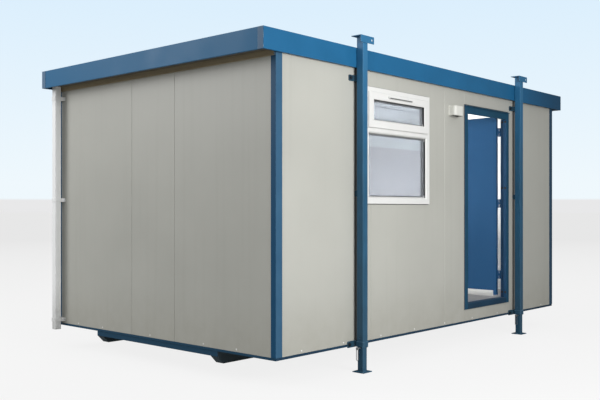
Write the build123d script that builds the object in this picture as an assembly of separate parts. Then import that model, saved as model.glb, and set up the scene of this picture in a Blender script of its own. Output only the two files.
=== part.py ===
"""Portable site cabin on four jacklegs, 16 ft by 10 ft, in millimetres.

X runs along the cabin, the door and window wall faces -Y, and Z = 0 is the level floor
under the foot plates. The origin is under the middle of the cabin.
"""
from build123d import *
import os

# ---------------------------------------------------------------- driving dimensions
# body
LENGTH = 4877.0  # outer faces of the end walls, 16 ft
WIDTH = 3048.0  # outer faces of the long walls, 10 ft
BASE_CLEARANCE = 220.0  # ground to the underside of the base rails
WALL = 50.0  # composite wall panel
PANEL_HEIGHT = 2388.0
PANEL_GAP = 1.0  # open joint between two wall panels
PANEL_EDGE = 2.0  # chamfer on the outer vertical edges of a panel
PANELS_PER_SIDE = 4
END_PANEL = 1218.0  # the two full panels of an end wall, with a make-up panel between

# base frame
RAIL_SHEET = 4.0
RAIL_LIP = 22.0  # strip that shows under the panels
RAIL_HEIGHT = 140.0
RAIL_FLANGE = 46.0
SKID_HEIGHT = 150.0
SKID_WIDTH = 90.0
SKID_WALL = 5.0
SKID_DROP = 110.0  # how far the skids reach below the base rails
SKID_INSET = 712.0  # long wall face to the middle of a skid
CHANNEL_DROP = 46.0  # end channels below the base rails
CHANNEL_FLANGE = 40.0
CHANNEL_PLATE = 6.0
JOIST_WIDTH = 45.0
JOIST_COUNT = 7
DECK = 18.0
VINYL = 4.0

# roof
END_OVERHANG = 172.0
SIDE_OVERHANG = 35.0
FASCIA_HEIGHT = 170.0
FASCIA_SHEET = 3.0
FASCIA_TOP_RETURN = 60.0
FASCIA_BOTTOM_RETURN = 20.0
FASCIA_LAP = 20.0  # fascia reaches this far below the wall top
FASCIA_WRAP = 60.0  # tab of a long fascia folded round the corner
FASCIA_WRAP_SHEET = 2.0
ROOF_DECK = 80.0
ROOF_RIB_HEIGHT = 32.0
ROOF_RIB_TOP = 30.0
ROOF_RIB_FOOT = 70.0
ROOF_RIB_PITCH = 250.0
ROOF_SHEET = 2.0
ROOF_DRIP = 25.0  # roof sheet over the edge of the gutter
GUTTER_SHEET = 2.0
GUTTER_DEPTH = 62.0
SOFFIT_SHEET = 4.0
FILLET_THICKNESS = 20.0  # batten in the corner under the soffit of an end wall
FILLET_DROP = 43.0

# corner trims
TRIM_SHEET = 3.0
TRIM_END_LEG = 50.0
TRIM_SIDE_LEG = 70.0

# window
WINDOW_LEFT = 1115.0  # left end wall face to the frame
WINDOW_WIDTH = 1020.0
WINDOW_HEIGHT = 1030.0
WINDOW_BOTTOM = 1443.0
WINDOW_FACE = 60.0
WINDOW_PROUD = 18.0
WINDOW_DEPTH = 70.0
TRANSOM = 66.0
FANLIGHT_HEIGHT = 280.0  # opening over the transom
SASH_LAP = 20.0
SASH_FACE = 70.0
SASH_LEAF = 16.0  # part of the sash that stands proud of the frame
SASH_BODY = 44.0
SASH_PLAY = 3.0
SASH_BEVEL = 6.0
FRAME_BEVEL = 12.0  # sloped edge round the fixed pane
PANE = 4.0  # each sheet of the double glazing
PANE_SPACE = 16.0
GLASS_SETBACK = 24.0  # from the front of a frame or sash to its glass
GASKET = 4.0
SPACER_FACE = 8.0
BEAD_FACE = 15.0
BEAD_DEPTH = 12.0
BEAD_SLOPE = 8.0
VENT_LENGTH = 376.0
VENT_HEIGHT = 18.0
VENT_DEPTH = 12.0
VENT_SLOPE = 6.0
VENT_SLOT = 3.0
VENT_END = 10.0  # closed end of the vent cover

# door
DOOR_LEFT = 2815.0  # left end wall face to the door frame
DOOR_FRAME_WIDTH = 939.0
DOOR_FRAME_HEIGHT = 2094.0
DOOR_FRAME_BOTTOM = 361.0
DOOR_FRAME_PROUD = 12.0
DOOR_FRAME_DEPTH = 84.0
DOOR_FACE = 55.0
DOOR_HEAD_FACE = 66.0
DOOR_REBATE = 25.0
DOOR_HEAD_REBATE = 39.0
DRIP_HEIGHT = 16.0
DRIP_PROUD = 14.0
DRIP_NOSE = 4.0
SILL_HEIGHT = 57.0
SILL_NOSE = 8.0
LEAF = 40.0
LEAF_GAP = 5.0
LEAF_UNDERCUT = 18.0  # bottom of the leaf above the sill
STOP_GAP = 5.0
HINGE_OFFSET = 15.0  # pivot behind the inner face of the frame
HINGE_EDGE = 20.0  # pivot beyond the hinge edge of the leaf
HINGE_RADIUS = 10.0
HINGE_PIN = 6.0
HINGE_PLATE = 6.0
HINGE_HEIGHT = 96.0
HINGE_SPLIT = 1.0
HINGE_STRAP = 60.0
HINGE_CRANK = 6.0  # run of the strap's crank
HINGE_CLEAR = 1.5  # between the strap and the barrels of the other half
HINGE_LEVELS = (179.0, 975.0, 1771.0)  # above the bottom of the leaf
HANDLE_BACKSET = 62.0
HANDLE_LEVEL = 1000.0
HANDLE_REACH = 52.0
HANDLE_LEVER = 120.0
HANDLE_ROD = 18.0
HANDLE_STEM = 14.0
HANDLE_PLATE_HEIGHT = 180.0
HANDLE_PLATE_WIDTH = 42.0
HANDLE_PLATE = 6.0

# vent cowl beside the door
COWL_LEFT = 2518.0
COWL_WIDTH = 160.0
COWL_DEPTH = 77.0
COWL_HEIGHT = 98.0
COWL_BOTTOM = 2332.0
COWL_SHEET = 4.0
COWL_RADIUS = 30.0
COWL_FLANGE = 5.0

# downpipe on the left end wall
PIPE_SIZE = 65.0
PIPE_WALL = 3.0
PIPE_RADIUS = 8.0
PIPE_STANDOFF = 35.0
PIPE_CORNER = 28.0  # rear long wall face to the pipe
PIPE_BOTTOM = 186.0
CLIP_HEIGHT = 36.0
CLIP_SHEET = 5.0
CLIP_LUG = 20.0
CLIP_LEVELS = (263.0, 1469.0, 2491.0)

# jacklegs
LEG_INSET = 1000.0  # end wall face to the middle of a leg
LEG_TUBE = 68.0
LEG_TUBE_WALL = 3.0
LEG_STANDOFF = 38.0  # wall face to the tube
LEG_TUBE_BOTTOM = 217.0
LEG_TUBE_RADIUS = 5.0
HEAD_LEVEL = 2879.0
HEAD_PLATE = 6.0
HEAD_FLANGE = 61.0
HEAD_DEPTH = 104.0
HEAD_SHORT = 36.0  # past the tube on one side
HEAD_LONG = 82.0  # past the tube on the other side
EYE_RADIUS = 11.0
EYE_FROM_END = 28.0
EYE_FROM_TOP = 30.0
BRACKET_PLATE = 8.0
BRACKET_ARM = 6.0
BRACKET_CORNER = 8.0
TOP_BRACKET = (200.0, 2495.0, 2546.0)  # width, underside and top of the wall plate
MIDDLE_BRACKET = (24.0, 1504.0, 1558.0)
BOTTOM_BRACKET = (240.0, 211.0, 266.0)
BOTTOM_ARM = 222.0  # underside of the arms of the bottom bracket, above the tube's foot
COLLAR = 4.0
COLLAR_HEIGHT = 45.0
INNER_TUBE = 58.0
INNER_WALL = 4.0
INNER_LENGTH = 760.0
FOOT = 120.0
FOOT_PLATE = 8.0
PIN_RADIUS = 8.0
PIN_LENGTH = 140.0
PIN_HEAD = 12.0
PIN_HEAD_LENGTH = 4.0
PIN_LOOP_HEIGHT = 118.0
PIN_LOOP_WIRE = 4.0
PIN_LOOP_PLAY = 0.3
PIN_SEAT = 0.3
PIN_HOLE_PLAY = 0.5
PIN_HOLE_LEVEL = 297.0

# ---------------------------------------------------------------- derived dimensions
HALF_LENGTH = LENGTH / 2
HALF_WIDTH = WIDTH / 2
PANEL_BOTTOM = BASE_CLEARANCE + RAIL_LIP
WALL_TOP = PANEL_BOTTOM + PANEL_HEIGHT
RAIL_TOP = BASE_CLEARANCE + RAIL_HEIGHT
FLOOR_LEVEL = RAIL_TOP + DECK + VINYL
SKID_BOTTOM = BASE_CLEARANCE - SKID_DROP
SKID_TOP = SKID_BOTTOM + SKID_HEIGHT
SKID_Y = HALF_WIDTH - SKID_INSET
INNER_X = HALF_LENGTH - WALL
INNER_Y = HALF_WIDTH - WALL
FASCIA_BOTTOM = WALL_TOP - FASCIA_LAP
FASCIA_TOP = FASCIA_BOTTOM + FASCIA_HEIGHT
ROOF_X = HALF_LENGTH + END_OVERHANG
ROOF_Y = HALF_WIDTH + SIDE_OVERHANG
FRONT = -HALF_WIDTH  # outer face of the door and window wall
LEFT = -HALF_LENGTH  # outer face of the end wall with the downpipe

WINDOW_X0 = LEFT + WINDOW_LEFT
WINDOW_X1 = WINDOW_X0 + WINDOW_WIDTH
WINDOW_Z0 = WINDOW_BOTTOM
WINDOW_Z1 = WINDOW_BOTTOM + WINDOW_HEIGHT
WINDOW_Y = FRONT - WINDOW_PROUD
FAN_Z1 = WINDOW_Z1 - WINDOW_FACE
FAN_Z0 = FAN_Z1 - FANLIGHT_HEIGHT
PANE_Z0 = WINDOW_Z0 + WINDOW_FACE
PANE_Z1 = FAN_Z0 - TRANSOM
PANE_X0 = WINDOW_X0 + WINDOW_FACE
PANE_X1 = WINDOW_X1 - WINDOW_FACE
SASH_INSET = SASH_FACE - SASH_LAP  # edge of the frame's opening to the fanlight's glass
FAN_PANE = (PANE_X0 + SASH_INSET, PANE_X1 - SASH_INSET, FAN_Z0 + SASH_INSET, FAN_Z1 - SASH_INSET)
LOW_PANE = (PANE_X0, PANE_X1, PANE_Z0, PANE_Z1)
FAN_GLASS_Y = WINDOW_Y - SASH_LEAF + GLASS_SETBACK
LOW_GLASS_Y = WINDOW_Y + GLASS_SETBACK

DOOR_X0 = LEFT + DOOR_LEFT
DOOR_X1 = DOOR_X0 + DOOR_FRAME_WIDTH
DOOR_Z0 = DOOR_FRAME_BOTTOM
DOOR_Z1 = DOOR_Z0 + DOOR_FRAME_HEIGHT
DOOR_TOP = DOOR_Z1 + DRIP_HEIGHT
DOOR_Y0 = FRONT - DOOR_FRAME_PROUD
DOOR_Y1 = DOOR_Y0 + DOOR_FRAME_DEPTH
STOP_X0 = DOOR_X0 + DOOR_FACE
STOP_X1 = DOOR_X1 - DOOR_FACE
STOP_Z1 = DOOR_Z1 - DOOR_HEAD_FACE
REBATE_X0 = STOP_X0 - DOOR_REBATE
REBATE_X1 = STOP_X1 + DOOR_REBATE
REBATE_Z1 = STOP_Z1 + DOOR_HEAD_REBATE
SILL_TOP = DOOR_Z0 + SILL_HEIGHT
STOP_Y = DOOR_Y1 - LEAF - STOP_GAP  # back of the stop that the leaf closes against
LEAF_X0 = REBATE_X0 + LEAF_GAP
LEAF_X1 = REBATE_X1 - LEAF_GAP
LEAF_Z0 = SILL_TOP + LEAF_UNDERCUT
LEAF_Z1 = REBATE_Z1 - LEAF_GAP
PIVOT_X = LEAF_X1 + HINGE_EDGE
PIVOT_Y = DOOR_Y1 + HINGE_OFFSET

LEG_Y = HALF_WIDTH + LEG_STANDOFF + LEG_TUBE / 2
LEG_X = HALF_LENGTH - LEG_INSET
PIN_LEVEL = LEG_TUBE_BOTTOM - PIN_SEAT - PIN_RADIUS


# ---------------------------------------------------------------- shape helpers
def block(x0, x1, y0, y1, z0, z1):
    """A square-cornered block between two corners."""
    return Pos((x0 + x1) / 2, (y0 + y1) / 2, (z0 + z1) / 2) * Box(x1 - x0, y1 - y0, z1 - z0)


def bar_x(outline, x0, x1):
    """A bar along X with a closed (y, z) outline."""
    return extrude(Plane.YZ.offset(x0) * make_face(Polyline(*outline, close=True)), x1 - x0)


def bar_y(outline, y0, y1):
    """A bar along Y with a closed (x, z) outline."""
    face = Plane.XZ.offset(-y0) * make_face(Polyline(*outline, close=True))
    return extrude(face, y0 - y1)


def bar_z(outline, z0, z1):
    """A post along Z with a closed (x, y) outline."""
    return extrude(Pos(0, 0, z0) * make_face(Polyline(*outline, close=True)), z1 - z0)


def cut_oblong(width, height, cut):
    """A rectangle with its corners cut at 45 degrees."""
    x, y = width / 2, height / 2
    outline = [
        (-x, cut - y),
        (-x, y - cut),
        (cut - x, y),
        (x - cut, y),
        (x, y - cut),
        (x, cut - y),
        (x - cut, -y),
        (cut - x, -y),
    ]
    return make_face(Polyline(*outline, close=True))


def tube_z(size, wall, radius, z0, z1):
    """A square hollow section standing on Z."""
    inside = size - 2 * wall
    section = RectangleRounded(size, size, radius) - Rectangle(inside, inside)
    return extrude(Pos(0, 0, z0) * section, z1 - z0)


def rod(start, end, radius):
    """A round rod between two points."""
    axis = Vector(*end) - Vector(*start)
    return extrude(Plane(origin=start, z_dir=axis) * Circle(radius), axis.length)


def mitred_side(outline, length):
    """One side of a frame of folded sheet, along X, with both ends cut at 45 degrees.

    The outline is (depth behind the outer face, z), and the outer face is at y = 0.
    """
    depths = [depth for depth, level in outline]
    levels = [level for depth, level in outline]
    near, far = min(depths), max(depths)
    plan = [
        (-length / 2 + near, near),
        (length / 2 - near, near),
        (length / 2 - far, far),
        (-length / 2 + far, far),
    ]
    return bar_x(outline, -length / 2, length / 2) & bar_z(plan, min(levels), max(levels))


def frame_sides(outline, half_x, half_y):
    """The two long sides and the two ends of a mitred frame around the cabin."""
    side = Pos(0, -half_y, 0) * mitred_side(outline, 2 * half_x)
    end = Rot(0, 0, -90) * Pos(0, -half_x, 0) * mitred_side(outline, 2 * half_y)
    turn = Rot(0, 0, 180)
    return [side, turn * side], [end, turn * end]


# ---------------------------------------------------------------- base and floor
def base_rails():
    """Folded rails with a ledge for the panels and a lip that shows below them."""
    sheet, ledge = RAIL_SHEET, PANEL_BOTTOM
    outline = [
        (0, BASE_CLEARANCE),
        (0, ledge),
        (WALL, ledge),
        (WALL, RAIL_TOP),
        (WALL + RAIL_FLANGE, RAIL_TOP),
        (WALL + RAIL_FLANGE, RAIL_TOP - sheet),
        (WALL + sheet, RAIL_TOP - sheet),
        (WALL + sheet, ledge - sheet),
        (sheet, ledge - sheet),
        (sheet, BASE_CLEARANCE),
    ]
    return frame_sides(outline, HALF_LENGTH, HALF_WIDTH)


def skids():
    """Two runners under the joists, with ends cut back at 45 degrees."""
    end = HALF_LENGTH - CHANNEL_PLATE
    nose = BASE_CLEARANCE - CHANNEL_DROP
    rise = nose - SKID_BOTTOM
    under_rail = PANEL_BOTTOM - RAIL_SHEET
    step = HALF_LENGTH - WALL - RAIL_SHEET
    outline = [
        (-step, SKID_TOP),
        (-step, under_rail),
        (-end, under_rail),
        (-end, nose),
        (-end + rise, SKID_BOTTOM),
        (end - rise, SKID_BOTTOM),
        (end, nose),
        (end, under_rail),
        (step, under_rail),
        (step, SKID_TOP),
    ]
    middle = bar_y(outline, -SKID_WIDTH / 2, SKID_WIDTH / 2)
    hollow, half = end - rise, SKID_WIDTH / 2 - SKID_WALL
    middle -= block(-hollow, hollow, -half, half, SKID_BOTTOM + SKID_WALL, SKID_TOP - SKID_WALL)
    return [Pos(0, side * SKID_Y, 0) * middle for side in (-1, 1)]


def end_channels():
    """A channel across each end, from skid to skid, flanged between the skids."""
    bottom = BASE_CLEARANCE - CHANNEL_DROP
    top = PANEL_BOTTOM - RAIL_SHEET
    reach = SKID_Y + SKID_WIDTH / 2
    between = SKID_Y - SKID_WIDTH / 2
    back = LEFT + CHANNEL_PLATE
    channel = block(LEFT + RAIL_SHEET, back, -reach, reach, bottom, top)
    for level in (bottom, top - CHANNEL_PLATE):
        channel += block(
            back, back + CHANNEL_FLANGE, -between, between, level, level + CHANNEL_PLATE
        )
    return [channel, Rot(0, 0, 180) * channel]


def joists():
    """Channel joists across the cabin, standing on the skids under the deck."""
    depth = RAIL_TOP - SKID_TOP
    half_span = INNER_Y - RAIL_SHEET
    sheet = RAIL_SHEET
    spacing = 2 * INNER_X / (JOIST_COUNT + 1)
    outline = [
        (0, 0),
        (JOIST_WIDTH, 0),
        (JOIST_WIDTH, sheet),
        (sheet, sheet),
        (sheet, depth - sheet),
        (JOIST_WIDTH, depth - sheet),
        (JOIST_WIDTH, depth),
        (0, depth),
    ]
    joist = bar_y(outline, -half_span, half_span)
    notch = RAIL_FLANGE + PANEL_GAP
    for side in (-1, 1):
        ends = sorted((side * half_span, side * (half_span - notch)))
        joist -= block(0, JOIST_WIDTH, *ends, depth - 2 * sheet, depth)
    first = -INNER_X + spacing - JOIST_WIDTH / 2
    return [Pos(first + i * spacing, 0, SKID_TOP) * joist for i in range(JOIST_COUNT)]


def floor_layer(z0, z1):
    """A sheet over the whole floor, let in round the door frame."""
    frame = block(DOOR_X0, DOOR_X1, FRONT, DOOR_Y1, DOOR_Z0, DOOR_Z1)
    return block(-INNER_X, INNER_X, -INNER_Y, INNER_Y, z0, z1) - frame


def floor_deck():
    """Floor board on the rails and joists."""
    return floor_layer(RAIL_TOP, RAIL_TOP + DECK)


def floor_vinyl():
    """Sheet vinyl on the deck."""
    return floor_layer(RAIL_TOP + DECK, FLOOR_LEVEL)


# ---------------------------------------------------------------- walls
def panel(width, z0, z1):
    """A wall panel along X from 0, outer face at y = 0, with its outer edges chamfered."""
    edge = PANEL_EDGE
    outline = [(0, edge), (edge, 0), (width - edge, 0), (width, edge), (width, WALL), (0, WALL)]
    return bar_z(outline, z0, z1)


def full_panels(starts, ends):
    """Full-height panels between the given distances along a wall."""
    return [
        Pos(start, 0, 0) * panel(end - start, PANEL_BOTTOM, WALL_TOP)
        for start, end in zip(starts, ends)
    ]


def end_wall():
    """Two full panels with a make-up panel between them, as seen on the left end."""
    first = WALL
    last = WIDTH - WALL
    makeup = WIDTH - 2 * END_PANEL
    joints = (END_PANEL, END_PANEL + makeup)
    starts = (first, joints[0] + PANEL_GAP, joints[1] + PANEL_GAP)
    ends = (joints[0], joints[1], last)
    place = Rot(0, 0, -90) * Pos(-HALF_WIDTH, -HALF_LENGTH, 0)
    return [place * piece for piece in full_panels(starts, ends)]


def side_spans():
    """Start and end of each panel along a long wall."""
    module = LENGTH / PANELS_PER_SIDE
    joints = [module * i for i in range(1, PANELS_PER_SIDE)]
    starts = [0] + [joint + PANEL_GAP for joint in joints]
    return list(zip(starts, joints + [LENGTH]))


def rear_wall():
    """Equal panels along the whole rear wall."""
    place = Rot(0, 0, 180) * Pos(LEFT, FRONT, 0)
    return [place * piece for piece in full_panels(*zip(*side_spans()))]


def front_wall():
    """The same panels cut away for the door and window, and panels over and under the door."""
    place = Pos(LEFT, FRONT, 0)
    window = block(WINDOW_X0, WINDOW_X1, FRONT - WALL, FRONT + 2 * WALL, WINDOW_Z0, WINDOW_Z1)
    door_end = DOOR_LEFT + DOOR_FRAME_WIDTH
    wall = {}
    for number, (start, end) in enumerate(side_spans(), 1):
        sides = ((start, min(end, DOOR_LEFT)), (max(start, door_end), end))
        beside = [(left, right) for left, right in sides if left < right]
        wall[f"front_panel_{number}"] = [
            (place * piece) - window for piece in full_panels(*zip(*beside))
        ]
    over = panel(DOOR_FRAME_WIDTH, DOOR_TOP, WALL_TOP)
    under = panel(DOOR_FRAME_WIDTH, PANEL_BOTTOM, DOOR_Z0)
    wall["front_panel_over_door"] = place * Pos(DOOR_LEFT, 0, 0) * over
    wall["front_panel_under_door"] = place * Pos(DOOR_LEFT, 0, 0) * under
    return wall


def corner_trims():
    """Folded angles over the four vertical corners."""
    sheet = TRIM_SHEET
    outline = [
        (-sheet, -sheet),
        (TRIM_SIDE_LEG, -sheet),
        (TRIM_SIDE_LEG, 0),
        (0, 0),
        (0, TRIM_END_LEG),
        (-sheet, TRIM_END_LEG),
    ]
    near = Pos(LEFT, FRONT, 0) * bar_z(outline, PANEL_BOTTOM, WALL_TOP)
    flipped = mirror(near, about=Plane.YZ)
    turn = Rot(0, 0, 180)
    return [near, flipped, turn * near, turn * flipped]


# ---------------------------------------------------------------- roof
def fascias():
    """Folded fascias around the roof, with a top return and a bottom return."""
    sheet, low, high = FASCIA_SHEET, FASCIA_BOTTOM, FASCIA_TOP
    outline = [
        (0, low),
        (0, high),
        (FASCIA_TOP_RETURN, high),
        (FASCIA_TOP_RETURN, high - sheet),
        (sheet, high - sheet),
        (sheet, low + sheet),
        (FASCIA_BOTTOM_RETURN, low + sheet),
        (FASCIA_BOTTOM_RETURN, low),
    ]
    return frame_sides(outline, ROOF_X, ROOF_Y)


def fascia_wraps():
    """Tabs of the long fascias, folded round the corners over the end fascias."""
    near = block(
        -ROOF_X - FASCIA_WRAP_SHEET, -ROOF_X, -ROOF_Y, -ROOF_Y + FASCIA_WRAP, FASCIA_BOTTOM, FASCIA_TOP
    )
    left = [near, mirror(near, about=Plane.XZ)]
    return left + [mirror(tab, about=Plane.YZ) for tab in left]


def soffits():
    """Closing sheets between the wall tops and the fascias, with a hole for the downpipe."""
    low = WALL_TOP
    high = WALL_TOP + SOFFIT_SHEET
    inner_x, inner_y = ROOF_X - FASCIA_SHEET, ROOF_Y - FASCIA_SHEET
    end = block(-inner_x, LEFT - PANEL_GAP, -inner_y, inner_y, low, high)
    side = block(LEFT, -LEFT, -inner_y, FRONT, low, high)
    turn = Rot(0, 0, 180)
    pipe = Pos(0, 0, low) * RectangleRounded(PIPE_SIZE, PIPE_SIZE, PIPE_RADIUS)
    hole = pipe_place() * extrude(pipe, SOFFIT_SHEET)
    return [end - hole, turn * end, side, turn * side]


def eaves_fillets():
    """Timber battens in the corner between the soffit and each end wall, over the trims."""
    low, face = WALL_TOP - FILLET_DROP, LEFT - TRIM_SHEET
    batten = block(face - FILLET_THICKNESS, face, -HALF_WIDTH, HALF_WIDTH, low, WALL_TOP)
    between = HALF_WIDTH - TRIM_END_LEG
    batten += block(face, LEFT, -between, between, low, WALL_TOP)
    return [batten, Rot(0, 0, 180) * batten]


def gutter():
    """Box gutter behind the left fascia, with an outlet over the downpipe."""
    sheet, low = GUTTER_SHEET, WALL_TOP + SOFFIT_SHEET
    x0, x1, y1 = -ROOF_X + FASCIA_SHEET, LEFT - PANEL_GAP, ROOF_Y - FASCIA_SHEET
    tray = block(x0, x1, -y1, y1, low, low + GUTTER_DEPTH)
    tray -= block(
        x0 + sheet, x1 - sheet, -y1 + sheet, y1 - sheet, low + sheet, low + GUTTER_DEPTH
    )
    bore = PIPE_SIZE - 2 * PIPE_WALL
    return tray - pipe_place() * Pos(0, 0, low + sheet / 2) * Box(bore, bore, sheet)


def roof_deck():
    """Insulated roof deck on the wall tops; its underside is the ceiling."""
    return block(-HALF_LENGTH, HALF_LENGTH, -HALF_WIDTH, HALF_WIDTH, WALL_TOP, WALL_TOP + ROOF_DECK)


def roof_sheet():
    """Ribbed weather sheet on the deck, its ribs running along the cabin to the gutter."""
    base, half_y = WALL_TOP + ROOF_DECK, ROOF_Y - FASCIA_SHEET
    foot, crest = ROOF_RIB_FOOT / 2, ROOF_RIB_TOP / 2
    count = int(2 * (half_y - foot) // ROOF_RIB_PITCH)
    under = [(-half_y, base)]
    for i in range(count + 1):
        middle = (i - count / 2) * ROOF_RIB_PITCH
        under += [(middle - foot, base), (middle - crest, base + ROOF_RIB_HEIGHT)]
        under += [(middle + crest, base + ROOF_RIB_HEIGHT), (middle + foot, base)]
    under.append((half_y, base))
    over = [(y, z + ROOF_SHEET) for y, z in reversed(under)]
    return bar_x(under + over, LEFT - ROOF_DRIP, ROOF_X - FASCIA_SHEET)


# ---------------------------------------------------------------- window
def ring(x0, x1, z0, z1, face, y0, y1):
    """A four-sided frame in a wall that faces -Y."""
    return block(x0, x1, y0, y1, z0, z1) - block(
        x0 + face, x1 - face, y0, y1, z0 + face, z1 - face
    )


def edges_within(shape, y, x0, x1, z0, z1):
    """Edges of a shape that lie in the plane y and inside or on a rectangle there."""
    near = 0.01
    return [
        edge
        for edge in shape.edges()
        if abs(edge.bounding_box().min.Y - y) < near and abs(edge.bounding_box().max.Y - y) < near
        and x0 - near < edge.center().X < x1 + near and z0 - near < edge.center().Z < z1 + near
    ]


def window_frame():
    """Plastic outer frame with a transom and a sloped edge round the fixed pane."""
    y0, y1 = WINDOW_Y, WINDOW_Y + WINDOW_DEPTH
    frame = ring(WINDOW_X0, WINDOW_X1, WINDOW_Z0, WINDOW_Z1, WINDOW_FACE, y0, y1)
    frame += block(PANE_X0, PANE_X1, y0, y1, PANE_Z1, FAN_Z0)
    return chamfer(edges_within(frame, y0, *LOW_PANE), FRAME_BEVEL)


def window_fanlight():
    """Top-hung sash, closed, lapping the front of the frame, with bevelled edges."""
    lap, play, face = SASH_LAP, SASH_PLAY, SASH_FACE
    outside = (PANE_X0 - lap, PANE_X1 + lap, FAN_Z0 - lap, FAN_Z1 + lap)
    front = WINDOW_Y - SASH_LEAF
    leaf = ring(*outside, face, front, WINDOW_Y)
    leaf = chamfer(edges_within(leaf, front, *outside), SASH_BEVEL)
    body = ring(
        PANE_X0 + play, PANE_X1 - play, FAN_Z0 + play, FAN_Z1 - play,
        face - lap - play, WINDOW_Y, WINDOW_Y + SASH_BODY,
    )
    return leaf + body


def glazed(pane, front):
    """Two sheets of glass, the spacer between them, the gasket before and the bead behind."""
    x0, x1, z0, z1 = pane
    back = front + PANE + PANE_SPACE
    sheets = [block(x0, x1, y, y + PANE, z0, z1) for y in (front, back)]
    spacer = ring(*pane, SPACER_FACE, front + PANE, back)
    gasket = ring(*pane, GASKET, front - GASKET, front)
    room = back + PANE
    bead = ring(*pane, BEAD_FACE, room, room + BEAD_DEPTH)
    inner = (x0 + BEAD_FACE, x1 - BEAD_FACE, z0 + BEAD_FACE, z1 - BEAD_FACE)
    bead = chamfer(edges_within(bead, room + BEAD_DEPTH, *inner), BEAD_SLOPE)
    return sheets, spacer, gasket, bead


def window_glazing():
    """The glazing of the fanlight and of the fixed pane, sorted by kind."""
    units = [glazed(FAN_PANE, FAN_GLASS_Y), glazed(LOW_PANE, LOW_GLASS_Y)]
    sheets, spacers, gaskets, beads = zip(*units)
    return {
        "window_glass": sheets[0] + sheets[1],
        "window_spacers": list(spacers),
        "window_gaskets": list(gaskets),
        "window_beads": list(beads),
    }


def window_trickle_vent():
    """Hooded vent cover on the top rail of the fanlight, with a slot along its front."""
    middle = (WINDOW_X0 + WINDOW_X1) / 2
    level = FAN_Z1 + SASH_LAP - SASH_FACE / 2
    front = WINDOW_Y - SASH_LEAF
    x0, x1 = middle - VENT_LENGTH / 2, middle + VENT_LENGTH / 2
    low, high = level - VENT_HEIGHT / 2, level + VENT_HEIGHT / 2
    hood = [
        (front, low),
        (front - VENT_DEPTH, low),
        (front - VENT_DEPTH, high - VENT_SLOPE),
        (front - VENT_DEPTH + VENT_SLOPE, high),
        (front, high),
    ]
    slot = block(
        x0 + VENT_END, x1 - VENT_END, front - VENT_DEPTH, front - VENT_SLOPE,
        level - VENT_SLOT, level,
    )
    return bar_x(hood, x0, x1) - slot


# ---------------------------------------------------------------- door
def door_frame():
    """Rebated steel jambs and head, with a drip moulding over the head."""
    outer = block(DOOR_X0, DOOR_X1, DOOR_Y0, DOOR_Y1, DOOR_Z0, DOOR_Z1)
    way = block(STOP_X0, STOP_X1, DOOR_Y0, DOOR_Y1, DOOR_Z0, STOP_Z1)
    rebate = block(REBATE_X0, REBATE_X1, STOP_Y, DOOR_Y1, DOOR_Z0, REBATE_Z1)
    drip = [
        (DOOR_Y0 - DRIP_PROUD, DOOR_Z1),
        (DOOR_Y0 - DRIP_PROUD, DOOR_Z1 + DRIP_NOSE),
        (FRONT, DOOR_TOP),
        (FRONT + WALL, DOOR_TOP),
        (FRONT + WALL, DOOR_Z1),
    ]
    return outer - way - rebate + bar_x(drip, DOOR_X0, DOOR_X1)


def door_sill():
    """Folded sill between the jambs, open underneath, with a sloped nose."""
    sheet, nose = RAIL_SHEET, SILL_NOSE
    outline = [
        (DOOR_Y0, DOOR_Z0),
        (DOOR_Y0, SILL_TOP - nose),
        (DOOR_Y0 + nose, SILL_TOP),
        (DOOR_Y1, SILL_TOP),
        (DOOR_Y1, DOOR_Z0),
        (DOOR_Y1 - sheet, DOOR_Z0),
        (DOOR_Y1 - sheet, SILL_TOP - sheet),
        (DOOR_Y0 + nose + sheet, SILL_TOP - sheet),
        (DOOR_Y0 + sheet, SILL_TOP - nose - sheet),
        (DOOR_Y0 + sheet, DOOR_Z0),
    ]
    return bar_x(outline, STOP_X0, STOP_X1)


def opened(shape):
    """Swing a shape of the door leaf from shut to square with the wall."""
    pivot = Pos(PIVOT_X, PIVOT_Y, 0)
    return pivot * Rot(0, 0, -90) * pivot.inverse() * shape


def door_leaf():
    """Flush steel leaf with bores for the spindle of the handle."""
    leaf = block(LEAF_X0, LEAF_X1, DOOR_Y1 - LEAF, DOOR_Y1, LEAF_Z0, LEAF_Z1)
    return opened(leaf)


def knuckle(z0, z1):
    """A hinge barrel at the pivot with a hole for the pin."""
    barrel = Circle(HINGE_RADIUS) - Circle(HINGE_PIN + PIN_HOLE_PLAY)
    return extrude(Pos(PIVOT_X, PIVOT_Y, z0) * barrel, z1 - z0)


def frame_hinges():
    """Hinge halves on the back of the jamb: a plate and two barrels joined by the pin."""
    third = HINGE_HEIGHT / 3
    hinges = []
    for level in HINGE_LEVELS:
        z0 = LEAF_Z0 + level
        z1 = z0 + HINGE_HEIGHT
        gap0, gap1 = z0 + third - HINGE_SPLIT, z0 + 2 * third + HINGE_SPLIT
        half = block(PIVOT_X, DOOR_X1, DOOR_Y1, DOOR_Y1 + HINGE_PLATE, z0, z1)
        half -= block(PIVOT_X, PIVOT_X + HINGE_RADIUS, DOOR_Y1, DOOR_Y1 + HINGE_PLATE, gap0, gap1)
        barrel = rod((PIVOT_X, PIVOT_Y, z0), (PIVOT_X, PIVOT_Y, z1), HINGE_RADIUS)
        middle = extrude(
            Pos(PIVOT_X, PIVOT_Y, gap0) * (Circle(2 * HINGE_RADIUS) - Circle(HINGE_PIN)), gap1 - gap0
        )
        hinges.append(barrel - middle + half)
    return hinges


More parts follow.
